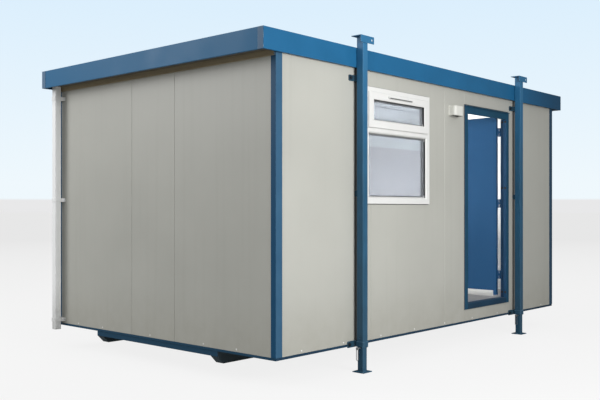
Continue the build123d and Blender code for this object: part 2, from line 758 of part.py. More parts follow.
def leaf_hinges():
    """Hinge halves on the inner face of the leaf: a cranked strap and the middle barrel."""
    third = HINGE_HEIGHT / 3
    face, edge = -HINGE_OFFSET, -HINGE_EDGE
    lap = face + HINGE_PLATE
    clear = -HINGE_RADIUS - HINGE_CLEAR
    outline = [
        (edge - HINGE_STRAP, face),
        (edge, face),
        (edge + HINGE_CRANK, lap),
        (clear, lap),
        (clear, lap + HINGE_PLATE),
        (edge + HINGE_CRANK, lap + HINGE_PLATE),
        (edge, lap),
        (edge - HINGE_STRAP, lap),
    ]
    hinges = []
    for level in HINGE_LEVELS:
        foot = LEAF_Z0 + level
        z0, z1 = foot + third + HINGE_SPLIT, foot + 2 * third - HINGE_SPLIT
        strap = bar_z(outline, foot, foot + HINGE_HEIGHT)
        strap += block(clear, 0, lap, lap + HINGE_PLATE, z0, z1)
        strap = Pos(PIVOT_X, PIVOT_Y, 0) * strap
        bore = extrude(Pos(PIVOT_X, PIVOT_Y, z0) * Circle(HINGE_PIN + PIN_HOLE_PLAY), z1 - z0)
        hinges.append(opened(strap + knuckle(z0, z1) - bore))
    return hinges


def door_handles():
    """A plate and a lever on each face of the leaf."""
    x = LEAF_X0 + HANDLE_BACKSET
    z = LEAF_Z0 + HANDLE_LEVEL
    half_w, half_h = HANDLE_PLATE_WIDTH / 2, HANDLE_PLATE_HEIGHT / 2
    handles = []
    for face, out in ((DOOR_Y1 - LEAF, -1), (DOOR_Y1, 1)):
        near, far = sorted((face, face + out * HANDLE_PLATE))
        plate = block(x - half_w, x + half_w, near, far, z - half_h, z + half_h)
        grip = face + out * HANDLE_REACH
        stem = rod((x, face, z), (x, grip, z), HANDLE_STEM / 2)
        lever = rod((x - HANDLE_ROD / 2, grip, z), (x + HANDLE_LEVER, grip, z), HANDLE_ROD / 2)
        handles.append(opened(plate + stem + lever))
    return handles


# ---------------------------------------------------------------- wall fittings
def vent_cowl():
    """Hood on the front wall, open underneath, with rounded corners and a wall flange."""
    x0, y1 = LEFT + COWL_LEFT, FRONT
    middle = x0 + COWL_WIDTH / 2
    outer = Pos(middle, y1 - COWL_DEPTH / 2, COWL_BOTTOM) * Box(
        COWL_WIDTH, COWL_DEPTH, COWL_HEIGHT, align=(Align.CENTER, Align.CENTER, Align.MIN)
    )
    fronts = outer.edges().filter_by(Axis.Z).group_by(Axis.Y)[0]
    outer = fillet(fronts, COWL_RADIUS)
    inner = Pos(middle, y1 - COWL_DEPTH / 2, COWL_BOTTOM) * Box(
        COWL_WIDTH - 2 * COWL_SHEET, COWL_DEPTH - 2 * COWL_SHEET, COWL_HEIGHT - COWL_SHEET,
        align=(Align.CENTER, Align.CENTER, Align.MIN),
    )
    fronts = inner.edges().filter_by(Axis.Z).group_by(Axis.Y)[0]
    hood = outer - fillet(fronts, COWL_RADIUS - COWL_SHEET)
    back = block(
        x0 - COWL_FLANGE, x0 + COWL_WIDTH + COWL_FLANGE, y1 - COWL_SHEET, y1,
        COWL_BOTTOM, COWL_BOTTOM + COWL_HEIGHT + COWL_FLANGE,
    )
    return hood + back


def pipe_place():
    """Middle of the downpipe in plan."""
    return Pos(LEFT - PIPE_STANDOFF - PIPE_SIZE / 2, HALF_WIDTH - PIPE_CORNER - PIPE_SIZE / 2, 0)


def downpipe():
    """Square pipe from the gutter, through the soffit, to just above the ground."""
    top = WALL_TOP + SOFFIT_SHEET
    return pipe_place() * tube_z(PIPE_SIZE, PIPE_WALL, PIPE_RADIUS, PIPE_BOTTOM, top)


def downpipe_clips():
    """Clips that wrap the pipe and reach the wall with a lug on each side."""
    sheet = CLIP_SHEET
    outer = PIPE_SIZE + 2 * sheet
    reach = PIPE_STANDOFF + PIPE_SIZE / 2 - TRIM_SHEET
    clips = []
    for level in CLIP_LEVELS:
        wrap = cut_oblong(outer, outer, PIPE_RADIUS) - Rectangle(PIPE_SIZE, PIPE_SIZE)
        band = extrude(Pos(0, 0, level) * wrap, CLIP_HEIGHT)
        band += block(PIPE_SIZE / 2, reach, -outer / 2, outer / 2, level, level + CLIP_HEIGHT)
        lugs = outer / 2 + CLIP_LUG
        band += block(reach - sheet, reach, -lugs, lugs, level, level + CLIP_HEIGHT)
        clips.append(pipe_place() * band)
    return clips


# ---------------------------------------------------------------- jacklegs
def on_corners(shape):
    """Copies of a leg piece on the four legs; the piece is made for a leg on the -Y wall."""
    front = [Pos(side * LEG_X, -LEG_Y, 0) * shape for side in (-1, 1)]
    return front + [Rot(0, 0, 180) * piece for piece in front]


def leg_tube():
    """Outer tube of a leg with a collar at its foot and a cross hole for the locking pin."""
    tube = tube_z(LEG_TUBE, LEG_TUBE_WALL, LEG_TUBE_RADIUS, LEG_TUBE_BOTTOM, HEAD_LEVEL - HEAD_PLATE)
    size = LEG_TUBE + 2 * COLLAR
    bore = LEG_TUBE - 2 * LEG_TUBE_WALL
    collar = cut_oblong(size, size, COLLAR) - Rectangle(bore, bore)
    tube += extrude(Pos(0, 0, LEG_TUBE_BOTTOM) * collar, COLLAR_HEIGHT)
    half = LEG_TUBE / 2
    hole = rod(
        (-half, 0, PIN_HOLE_LEVEL), (half, 0, PIN_HOLE_LEVEL), PIN_RADIUS + PIN_HOLE_PLAY
    )
    return tube - hole


def leg_head():
    """Angle on top of a leg with a lifting eye in its long end."""
    half = LEG_TUBE / 2
    x0, x1 = -half - HEAD_SHORT, half + HEAD_LONG
    front = -half - HEAD_PLATE
    outline = [
        (front, HEAD_LEVEL),
        (front + HEAD_DEPTH, HEAD_LEVEL),
        (front + HEAD_DEPTH, HEAD_LEVEL - HEAD_PLATE),
        (-half, HEAD_LEVEL - HEAD_PLATE),
        (-half, HEAD_LEVEL - HEAD_FLANGE),
        (front, HEAD_LEVEL - HEAD_FLANGE),
    ]
    x, z = x1 - EYE_FROM_END, HEAD_LEVEL - EYE_FROM_TOP
    return bar_x(outline, x0, x1) - rod((x, front, z), (x, -half, z), EYE_RADIUS)


def leg_bracket(plate, arm_level, half):
    """A plate on the wall with two arms that reach the back of the tube or its collar."""
    width, low, high = plate
    wall_side = LEG_TUBE / 2 + LEG_STANDOFF
    face = Pos(0, (low + high) / 2) * cut_oblong(width, high - low, BRACKET_CORNER)
    bracket = extrude(Plane.XZ.offset(-wall_side) * face, BRACKET_PLATE)
    outside = min(LEG_TUBE / 2 - LEG_TUBE_RADIUS, width / 2)
    for side in (-1, 1):
        x0, x1 = sorted((side * (outside - BRACKET_ARM), side * outside))
        bracket += block(x0, x1, half, wall_side - BRACKET_PLATE, arm_level, high)
    return bracket


def leg_brackets():
    """The three brackets of a leg: under the head, at mid height and at the base rail."""
    half = LEG_TUBE / 2
    return [
        leg_bracket(TOP_BRACKET, TOP_BRACKET[1], half),
        leg_bracket(MIDDLE_BRACKET, MIDDLE_BRACKET[1], half),
        leg_bracket(BOTTOM_BRACKET, BOTTOM_ARM, half + COLLAR),
    ]


def inner_leg():
    """Sliding inner leg on its foot plate, with a cross hole for the locking pin."""
    tube = tube_z(INNER_TUBE, INNER_WALL, LEG_TUBE_RADIUS, FOOT_PLATE, INNER_LENGTH)
    foot = block(-FOOT / 2, FOOT / 2, -FOOT / 2, FOOT / 2, 0, FOOT_PLATE)
    half = INNER_TUBE / 2
    hole = rod((-half, 0, PIN_LEVEL), (half, 0, PIN_LEVEL), PIN_RADIUS + PIN_HOLE_PLAY)
    return tube - hole + foot


def leg_pin():
    """Headed pin through the inner leg, which the outer tube bears on, and its hanging loop."""
    half, wire = PIN_LENGTH / 2, PIN_LOOP_WIRE
    pin = rod((-half, 0, PIN_LEVEL), (half, 0, PIN_LEVEL), PIN_RADIUS)
    pin += rod((-half - PIN_HEAD_LENGTH, 0, PIN_LEVEL), (-half, 0, PIN_LEVEL), PIN_HEAD)
    eye = 2 * (PIN_RADIUS + PIN_LOOP_PLAY)
    width = eye + 2 * wire
    outer = cut_oblong(width, PIN_LOOP_HEIGHT, width / 3)
    inner = cut_oblong(eye, PIN_LOOP_HEIGHT - 2 * wire, eye / 4)
    hang = PIN_LEVEL + PIN_RADIUS + PIN_LOOP_PLAY + wire - PIN_LOOP_HEIGHT / 2
    loop = extrude(Plane.YZ.offset(-half) * Pos(0, hang) * (outer - inner), wire)
    return [pin, loop]


# ---------------------------------------------------------------- export
def cabin():
    """Every node of the cabin by name, as one solid or a list of solids."""
    side_rails, end_rails = base_rails()
    side_fascias, end_fascias = fascias()
    left_end = end_wall()
    turn = Rot(0, 0, 180)
    nodes = {
        "base_side_rails": side_rails,
        "base_end_rails": end_rails,
        "base_skids": skids(),
        "base_end_channels": end_channels(),
        "floor_joists": joists(),
        "floor_deck": floor_deck(),
        "floor_vinyl": floor_vinyl(),
        "left_end_panels": left_end,
        "right_end_panels": [turn * piece for piece in left_end],
        "rear_wall_panels": rear_wall(),
        "corner_trims": corner_trims(),
        "side_fascias": side_fascias,
        "end_fascias": end_fascias,
        "fascia_wraps": fascia_wraps(),
        "soffits": soffits(),
        "eaves_fillets": eaves_fillets(),
        "gutter": gutter(),
        "roof_deck": roof_deck(),
        "roof_sheet": roof_sheet(),
        "window_frame": window_frame(),
        "window_fanlight": window_fanlight(),
        "window_trickle_vent": window_trickle_vent(),
        "door_frame": door_frame(),
        "door_sill": door_sill(),
        "door_frame_hinges": frame_hinges(),
        "door_leaf": door_leaf(),
        "door_leaf_hinges": leaf_hinges(),
        "door_handles": door_handles(),
        "vent_cowl": vent_cowl(),
        "downpipe": downpipe(),
        "downpipe_clips": downpipe_clips(),
        "leg_outer_tubes": on_corners(leg_tube()),
        "leg_heads": on_corners(leg_head()),
        "leg_brackets": [piece for bracket in leg_brackets() for piece in on_corners(bracket)],
    }
    nodes.update(front_wall())
    nodes.update(window_glazing())
    corners = ("front_left", "front_right", "rear_right", "rear_left")
    pins = zip(*[on_corners(piece) for piece in leg_pin()])
    for corner, leg, pin in zip(corners, on_corners(inner_leg()), pins):
        nodes[f"inner_leg_{corner}"] = leg
        nodes[f"leg_pin_{corner}"] = list(pin)
    return nodes


os.makedirs("parts", exist_ok=True)
for name, shape in cabin().items():
    solids = shape if isinstance(shape, list) else [shape]
    whole = Compound(children=solids) if len(solids) > 1 else solids[0]
    export_step(whole, f"parts/{name}.step")
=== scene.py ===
"""Looks of a portable site cabin: its finishes, its fixings, and a plain studio round it."""

import math

import bmesh
import bpy
from bpy.props import FloatProperty, FloatVectorProperty, IntProperty, PointerProperty
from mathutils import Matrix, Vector


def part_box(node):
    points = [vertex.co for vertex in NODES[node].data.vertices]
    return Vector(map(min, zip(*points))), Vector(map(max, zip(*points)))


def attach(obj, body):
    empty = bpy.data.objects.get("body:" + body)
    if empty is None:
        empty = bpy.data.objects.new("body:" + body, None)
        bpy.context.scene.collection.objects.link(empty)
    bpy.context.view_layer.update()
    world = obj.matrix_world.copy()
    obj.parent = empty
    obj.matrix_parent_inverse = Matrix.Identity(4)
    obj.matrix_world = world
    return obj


bl_info = {
    "name": "Portable Site Cabin",
    "version": (1, 0, 0),
    "blender": (4, 5, 0),
    "location": "3D View > Sidebar > Cabin",
    "description": "Finishes and fixings of a portable site cabin on four jacklegs",
    "category": "Object",
}

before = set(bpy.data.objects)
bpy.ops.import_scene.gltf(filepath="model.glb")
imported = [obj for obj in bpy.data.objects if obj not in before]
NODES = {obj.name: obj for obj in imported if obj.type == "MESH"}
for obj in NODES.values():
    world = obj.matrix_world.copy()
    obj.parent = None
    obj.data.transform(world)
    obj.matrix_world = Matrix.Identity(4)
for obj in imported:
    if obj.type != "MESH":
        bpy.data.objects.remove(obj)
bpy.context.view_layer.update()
LEG_X = (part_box("inner_leg_front_right")[0].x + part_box("inner_leg_front_right")[1].x) / 2
WALL_Y = abs(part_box("front_panel_1")[0].y)
CORNERS = ("front_left", "front_right", "rear_right", "rear_left")
# a mix node's sockets for colours: the share of the colour laid over, the one under, the one over
SHARE, UNDER, OVER = 0, 6, 7


# ---------------------------------------------------------------- colours and nodes
def linear(hex_colour):
    """Turns an sRGB hex colour to the linear values that shaders use."""
    values = [int(hex_colour[i : i + 2], 16) / 255 for i in (1, 3, 5)]
    return tuple(v / 12.92 if v <= 0.04045 else ((v + 0.055) / 1.055) ** 2.4 for v in values)


def add(tree, kind, links=None, **settings):
    """Adds a node with its settings. Links gives sockets a number, a colour (hex or linear), an
    output, or a node, which stands for its first output in use."""
    node = tree.nodes.new(kind)
    for name, value in settings.items():
        setattr(node, name, value)
    for name, value in (links or {}).items():
        socket = node.inputs[name]
        if isinstance(value, bpy.types.Node):
            value = next(output for output in value.outputs if output.enabled)
        if isinstance(value, bpy.types.NodeSocket):
            tree.links.new(value, socket)
        elif socket.type == "RGBA":
            red_green_blue = linear(value) if isinstance(value, str) else value
            socket.default_value = (*red_green_blue, 1.0)
        else:
            socket.default_value = value
    return node


def blank_material(name):
    """A new material, its empty node tree, and the place on the cabin that patterns follow."""
    material = bpy.data.materials.new(name)
    material.use_nodes = True
    tree = material.node_tree
    tree.nodes.clear()
    return material, tree, add(tree, "ShaderNodeTexCoord").outputs["Object"]


def close_material(material, shader):
    """Joins the last shader to the output and returns the finished material."""
    add(material.node_tree, "ShaderNodeOutputMaterial", {"Surface": shader})
    return material


def toned(colour, amount):
    """The colour, lighter or darker by an amount."""
    return [part * amount for part in colour]


# ---------------------------------------------------------------- sizes and colours to change
class CabinPaints(bpy.types.PropertyGroup):
    """Colours of the cabin's finishes."""

    panel: FloatVectorProperty(
        name="Wall panels", description="Coated steel skin of the wall panels",
        subtype="COLOR", size=3, min=0, max=1, default=linear("#AEAEA7"),
    )
    lining: FloatVectorProperty(
        name="Lining", description="White skin on the inside of walls and roof",
        subtype="COLOR", size=3, min=0, max=1, default=linear("#F0F0EE"),
    )
    trim: FloatVectorProperty(
        name="Roof edge", description="Blue fascias along the edge of the roof",
        subtype="COLOR", size=3, min=0, max=1, default=linear("#20608A"),
    )
    leg: FloatVectorProperty(
        name="Jacklegs", description="Paint of the lifting legs",
        subtype="COLOR", size=3, min=0, max=1, default=linear("#1D4E6B"),
    )
    chassis: FloatVectorProperty(
        name="Chassis", description="Bitumen paint under the cabin",
        subtype="COLOR", size=3, min=0, max=1, default=linear("#35464F"),
    )
    plastic: FloatVectorProperty(
        name="Window and cowl", description="White extruded and moulded plastic",
        subtype="COLOR", size=3, min=0, max=1, default=linear("#D8D8D6"),
    )
    pipe: FloatVectorProperty(
        name="Downpipe", description="Pale grey rainwater pipe",
        subtype="COLOR", size=3, min=0, max=1, default=linear("#F0F1F1"),
    )
    glass: FloatVectorProperty(
        name="Glass", description="Tint of the window glass",
        subtype="COLOR", size=3, min=0, max=1, default=linear("#D0D3D9"),
    )


class CabinFixings(bpy.types.PropertyGroup):
    """Sizes of the small fixings."""

    rivet: FloatProperty(
        name="Rivet", description="Diameter of the cap over a rivet",
        default=0.016, min=0.006, max=0.03, subtype="DISTANCE", unit="LENGTH",
    )
    bolt: FloatProperty(
        name="Bolt", description="Width across the corners of a bracket bolt's head",
        default=0.027, min=0.01, max=0.04, subtype="DISTANCE", unit="LENGTH",
    )
    screw: FloatProperty(
        name="Screw", description="Diameter of a pan-head screw",
        default=0.010, min=0.004, max=0.02, subtype="DISTANCE", unit="LENGTH",
    )
    anchor: FloatProperty(
        name="Frame Anchor", description="Diameter of the caps on the door frame's anchors",
        default=0.028, min=0.004, max=0.04, subtype="DISTANCE", unit="LENGTH",
    )
    roof_rows: IntProperty(
        name="Roof rows", description="Rows of screws across the roof sheet",
        default=8, min=2, max=14,
    )
    sealant: FloatProperty(
        name="Sealant", description="Width of the sealant bead round the window and door frame",
        default=0.006, min=0.002, max=0.015, subtype="DISTANCE", unit="LENGTH",
    )


class CabinStudio(bpy.types.PropertyGroup):
    """Studio round the cabin."""

    sky: FloatVectorProperty(
        name="Upper air", description="Colour high above the horizon",
        subtype="COLOR", size=3, min=0, max=1, default=linear("#DCEFFD"),
    )
    horizon: FloatVectorProperty(
        name="Horizon", description="Colour at the horizon",
        subtype="COLOR", size=3, min=0, max=1, default=linear("#EFF8FD"),
    )
    low_light: FloatProperty(
        name="Light from the horizon", description="Strength of the soft light at the horizon",
        default=0.48, min=0,
    )
    high_light: FloatProperty(
        name="Light from above", description="Strength of the soft light overhead",
        default=0.95, min=0,
    )
    key: FloatProperty(
        name="Key light", description="Power of the soft light at the near corner",
        default=258.0, min=0, unit="POWER",
    )
    fill: FloatProperty(
        name="Fill light", description="Power of the soft light on the end wall",
        default=225.0, min=0, unit="POWER",
    )
    room: FloatProperty(
        name="Room light", description="Base power of the soft lights inside the cabin",
        default=42.0, min=0, unit="POWER",
    )
    focal: FloatProperty(
        name="Focal length", description="Focal length of the lens in millimetres",
        default=48.9, min=10, max=200,
    )


# ---------------------------------------------------------------- finishes
def coated_panel_steel(paints):
    """Plastisol-coated galvanised steel on a foam core: a soft low sheen with an embossed
    leather grain, faint streaks from rain, and road dust low on the wall. Its inner skin is
    smooth white polyester coating."""
    material, tree, place = blank_material("plastisol_coated_panel")
    axes = add(tree, "ShaderNodeSeparateXYZ", {0: place})
    along = add(tree, "ShaderNodeMath", {0: axes.outputs["X"]}, operation="ABSOLUTE")
    across = add(tree, "ShaderNodeMath", {0: axes.outputs["Y"]}, operation="ABSOLUTE")
    # the inner skin is all that lies within these half sizes, just behind the room's faces
    half_length, half_width = 2.395, 1.48
    in_length = add(tree, "ShaderNodeMath", {0: along, 1: half_length}, operation="LESS_THAN")
    in_width = add(tree, "ShaderNodeMath", {0: across, 1: half_width}, operation="LESS_THAN")
    inside = add(tree, "ShaderNodeMath", {0: in_length, 1: in_width}, operation="MULTIPLY")
    # clouds about 0.7 m across
    clouds = add(tree, "ShaderNodeTexNoise", {"Vector": place, "Scale": 1.4, "Detail": 3.0})
    tone = add(tree, "ShaderNodeMapRange", {"Value": clouds, "From Min": 0.3, "From Max": 0.7})
    paint = add(
        tree, "ShaderNodeMix",
        {SHARE: tone, UNDER: toned(paints.panel, 0.955), OVER: toned(paints.panel, 1.02)},
        data_type="RGBA",
    )
    # rain streaks 20 to 60 mm wide that run down the wall
    stretched = add(tree, "ShaderNodeMapping", {"Vector": place, "Scale": (22.0, 22.0, 0.5)})
    streaks = add(tree, "ShaderNodeTexNoise", {"Vector": stretched, "Scale": 1.0, "Detail": 4.0})
    streak = add(
        tree, "ShaderNodeMapRange",
        {"Value": streaks, "From Min": 0.52, "From Max": 0.78, "To Max": 0.10},
    )
    streaked = add(
        tree, "ShaderNodeMix", {SHARE: streak, UNDER: paint, OVER: "#8D8B80"}, data_type="RGBA"
    )
    # dust thrown up from the ground, thinning out over about 450 mm
    low = add(
        tree, "ShaderNodeMapRange", {"Value": axes.outputs["Z"], "From Min": 0.70, "From Max": 0.24}
    )
    speckle = add(tree, "ShaderNodeTexNoise", {"Vector": place, "Scale": 9.0, "Detail": 5.0})
    dust = add(tree, "ShaderNodeMath", {0: low, 1: speckle}, operation="MULTIPLY")
    dust_amount = add(tree, "ShaderNodeMath", {0: dust, 1: 0.42}, operation="MULTIPLY")
    dusty = add(
        tree, "ShaderNodeMix", {SHARE: dust_amount, UNDER: streaked, OVER: "#8A8474"},
        data_type="RGBA",
    )
    # painted shadow of each leg: the strip of wall straight behind it is drawn nearly black
    strip = 0.0155
    from_leg = add(tree, "ShaderNodeMath", {0: along, 1: LEG_X, 2: strip}, operation="COMPARE")
    on_side = add(tree, "ShaderNodeMath", {0: across, 1: WALL_Y - 0.001}, operation="GREATER_THAN")
    darkening = add(tree, "ShaderNodeMath", {0: from_leg, 1: on_side}, operation="MULTIPLY")
    leg_shadow_amount = add(tree, "ShaderNodeMath", {0: darkening, 1: 0.8}, operation="MULTIPLY")
    leg_shadowed = add(
        tree, "ShaderNodeMix", {SHARE: leg_shadow_amount, UNDER: dusty, OVER: "#1E1F22"},
        data_type="RGBA",
    )
    colour = add(
        tree, "ShaderNodeMix", {SHARE: inside, UNDER: leg_shadowed, OVER: paints.lining}, data_type="RGBA"
    )
    sheen = add(tree, "ShaderNodeMapRange", {"Value": clouds, "To Min": 0.36, "To Max": 0.52})
    # leather grain is 2 mm; drawn 14 mm wide so that it shows
    grain = add(tree, "ShaderNodeTexVoronoi", {"Vector": place, "Scale": 70.0}, feature="SMOOTH_F1")
    bump = add(tree, "ShaderNodeBump", {"Height": grain, "Strength": 0.10, "Distance": 0.001})
    shader = add(
        tree, "ShaderNodeBsdfPrincipled",
        {"Base Color": colour, "Roughness": sheen, "Normal": bump, "Specular IOR Level": 0.4},
    )
    return close_material(material, shader)


def rubbed_arrises(tree, place, rounded, scale, chip, bare):
    """How far paint is rubbed off: along the arrises, where the rounded normal turns away from
    the true one, and there in chips. Chip gives the noise where a chip starts and is whole, and
    bare gives how much paint is off outside it and in it."""
    true = add(tree, "ShaderNodeNewGeometry").outputs["Normal"]
    agree = add(tree, "ShaderNodeVectorMath", {0: rounded, 1: true}, operation="DOT_PRODUCT")
    arris = add(tree, "ShaderNodeMapRange", {"Value": agree, "From Min": 0.985, "From Max": 0.86})
    noise = add(tree, "ShaderNodeTexNoise", {"Vector": place, "Scale": scale, "Detail": 6.0})
    chips = add(
        tree, "ShaderNodeMapRange",
        {"Value": noise, "From Min": chip[0], "From Max": chip[1], "To Min": bare[0],
         "To Max": bare[1]},
    )
    return add(tree, "ShaderNodeMath", {0: arris, 1: chips}, operation="MULTIPLY")


def painted_steel(name, colour, dark, flank_shading, worn, rough, edge, wear):
    """Steel sheet with a sprayed and baked coat: a satin blue with a slight orange peel, clouded by
    handling and rubbed to another tone along its folds. The faces that look along the cabin take
    another tone, painted light and shade, and painted shade darkens it towards the cabin's end at
    +X."""
    material, tree, place = blank_material(name)
    # handling marks about 0.3 m across
    clouds = add(tree, "ShaderNodeTexNoise", {"Vector": place, "Scale": 3.3, "Detail": 5.0})
    tone = add(tree, "ShaderNodeMapRange", {"Value": clouds, "From Min": 0.32, "From Max": 0.68})
    paint = add(tree, "ShaderNodeMix", {SHARE: tone, UNDER: dark, OVER: colour}, data_type="RGBA")
    turn = add(tree, "ShaderNodeTexCoord").outputs["Normal"]
    facing = add(tree, "ShaderNodeSeparateXYZ", {0: turn})
    # painted light and shade: faces that look along the cabin take the flank's own tone
    along = add(tree, "ShaderNodeMath", {0: facing.outputs["X"]}, operation="ABSOLUTE")
    turned = add(tree, "ShaderNodeMapRange", {"Value": along, "From Min": 0.4, "From Max": 0.8})
    both = add(tree, "ShaderNodeMix", {SHARE: turned, UNDER: paint, OVER: flank_shading}, data_type="RGBA")
    # painted shade: from 1.4 m off its middle towards +X the cabin's end is drawn darker
    axes = add(tree, "ShaderNodeSeparateXYZ", {0: place})
    far_end_shade = add(
        tree, "ShaderNodeMapRange",
        {"Value": axes.outputs["X"], "From Min": 1.4, "From Max": 2.4, "To Max": 0.55},
    )
    far_end_shaded = add(
        tree, "ShaderNodeMix", {SHARE: far_end_shade, UNDER: both, OVER: "#0E2A3E"}, data_type="RGBA"
    )
    rounded = add(tree, "ShaderNodeBevel", {"Radius": edge}, samples=6)
    rubbed = rubbed_arrises(tree, place, rounded, 38.0, (0.45, 0.62), (0.0, wear))
    finish = add(
        tree, "ShaderNodeMix", {SHARE: rubbed, UNDER: far_end_shaded, OVER: worn}, data_type="RGBA"
    )
    gloss = add(
        tree, "ShaderNodeMapRange",
        {"Value": clouds, "To Min": rough - 0.08, "To Max": rough + 0.12},
    )
    # orange peel is about 4 mm; drawn 9 mm wide so that it shows
    peel = add(tree, "ShaderNodeTexNoise", {"Vector": place, "Scale": 110.0, "Detail": 2.0})
    bump = add(
        tree, "ShaderNodeBump",
        {"Height": peel, "Strength": 0.07, "Distance": 0.001, "Normal": rounded},
    )
    shader = add(
        tree, "ShaderNodeBsdfPrincipled",
        {"Base Color": finish, "Roughness": gloss, "Normal": bump, "IOR": 1.5,
         "Specular IOR Level": 0.15},
    )
    return close_material(material, shader)


def jackleg_steel(paints):
    """Hollow section brushed over with machinery enamel: drawn a brighter blue high up, painted
    light, and greyer and darker lower down, with pale rubbed corners and chips."""
    material, tree, place = blank_material("enamelled_jackleg_steel")
    rounded = add(tree, "ShaderNodeBevel", {"Radius": 0.004}, samples=6)
    axes = add(tree, "ShaderNodeSeparateXYZ", {0: place})
    # brush marks 6 to 15 mm wide along the leg
    stretched = add(tree, "ShaderNodeMapping", {"Vector": place, "Scale": (90.0, 90.0, 2.2)})
    brushed = add(tree, "ShaderNodeTexNoise", {"Vector": stretched, "Scale": 1.0, "Detail": 5.0})
    clouds = add(tree, "ShaderNodeTexNoise", {"Vector": place, "Scale": 5.0, "Detail": 5.0})
    tone = add(tree, "ShaderNodeMapRange", {"Value": clouds, "From Min": 0.35, "From Max": 0.68})
    paint = add(
        tree, "ShaderNodeMix",
        {SHARE: tone, UNDER: toned(paints.leg, 0.86), OVER: toned(paints.leg, 1.1)},
        data_type="RGBA",
    )
    lift = add(
        tree, "ShaderNodeMapRange",
        {"Value": brushed, "From Min": 0.5, "From Max": 0.75, "To Max": 0.35},
    )
    marked = add(
        tree, "ShaderNodeMix", {SHARE: lift, UNDER: paint, OVER: "#3F6A88"}, data_type="RGBA"
    )
    # painted light: a brighter blue towards the top of the leg
    top_light = add(
        tree, "ShaderNodeMapRange",
        {"Value": axes.outputs["Z"], "From Min": 1.7, "From Max": 2.8, "To Max": 0.8},
    )
    upper = add(
        tree, "ShaderNodeMix", {SHARE: top_light, UNDER: marked, OVER: "#2B6C96"}, data_type="RGBA"
    )
    # greyer and darker towards the foot
    film = add(
        tree, "ShaderNodeMapRange",
        {"Value": axes.outputs["Z"], "From Min": 1.3, "From Max": 0.2, "To Max": 0.55},
    )
    greyed = add(
        tree, "ShaderNodeMix", {SHARE: film, UNDER: upper, OVER: "#2C4656"}, data_type="RGBA"
    )
    rubbed = rubbed_arrises(tree, place, rounded, 30.0, (0.32, 0.6), (0.25, 0.75))
    finish = add(
        tree, "ShaderNodeMix", {SHARE: rubbed, UNDER: greyed, OVER: "#6A94B0"}, data_type="RGBA"
    )
    gloss = add(tree, "ShaderNodeMapRange", {"Value": clouds, "To Min": 0.34, "To Max": 0.62})
    bump = add(
        tree, "ShaderNodeBump",
        {"Height": brushed, "Strength": 0.10, "Distance": 0.001, "Normal": rounded},
    )
    shader = add(
        tree, "ShaderNodeBsdfPrincipled",
        {"Base Color": finish, "Roughness": gloss, "Normal": bump, "IOR": 1.5,
         "Specular IOR Level": 0.35},
    )
    return close_material(material, shader)


def bitumen_painted_steel(paints):
    """Chassis steel under a thick brushed coat of bitumen: dark blue-grey, lumpy and half
    matt, with pale dust lying on it."""
    material, tree, place = blank_material("bitumen_painted_chassis")
    lumps = add(tree, "ShaderNodeTexNoise", {"Vector": place, "Scale": 16.0, "Detail": 6.0})
    dust = add(
        tree, "ShaderNodeMapRange",
        {"Value": lumps, "From Min": 0.5, "From Max": 0.8, "To Max": 0.22},
    )
    colour = add(
        tree, "ShaderNodeMix", {SHARE: dust, UNDER: paints.chassis, OVER: "#5E6468"},
        data_type="RGBA",
    )
    rounded = add(tree, "ShaderNodeBevel", {"Radius": 0.004}, samples=4)
    bump = add(
        tree, "ShaderNodeBump",
        {"Height": lumps, "Strength": 0.3, "Distance": 0.003, "Normal": rounded},
    )
    gloss = add(tree, "ShaderNodeMapRange", {"Value": lumps, "To Min": 0.45, "To Max": 0.8})
    shader = add(
        tree, "ShaderNodeBsdfPrincipled", {"Base Color": colour, "Roughness": gloss, "Normal": bump}
    )
    return close_material(material, shader)


def extruded_pvcu(paints):
    """Extruded rigid PVC window profile: clean white with a low sheen and a very faint
    film of dust in soft clouds."""
    material, tree, place = blank_material("extruded_pvcu")
    clouds = add(tree, "ShaderNodeTexNoise", {"Vector": place, "Scale": 6.0, "Detail": 4.0})
    tone = add(tree, "ShaderNodeMapRange", {"Value": clouds, "From Min": 0.35, "From Max": 0.75})
    colour = add(
        tree, "ShaderNodeMix",
        {SHARE: tone, UNDER: paints.plastic, OVER: toned(paints.plastic, 0.97)}, data_type="RGBA",
    )
    rounded = add(tree, "ShaderNodeBevel", {"Radius": 0.0025}, samples=6)
    gloss = add(tree, "ShaderNodeMapRange", {"Value": clouds, "To Min": 0.36, "To Max": 0.44})
    shader = add(
        tree, "ShaderNodeBsdfPrincipled",
        {"Base Color": colour, "Roughness": gloss, "Normal": rounded, "IOR": 1.53,
         "Specular IOR Level": 0.4},
    )
    return close_material(material, shader)


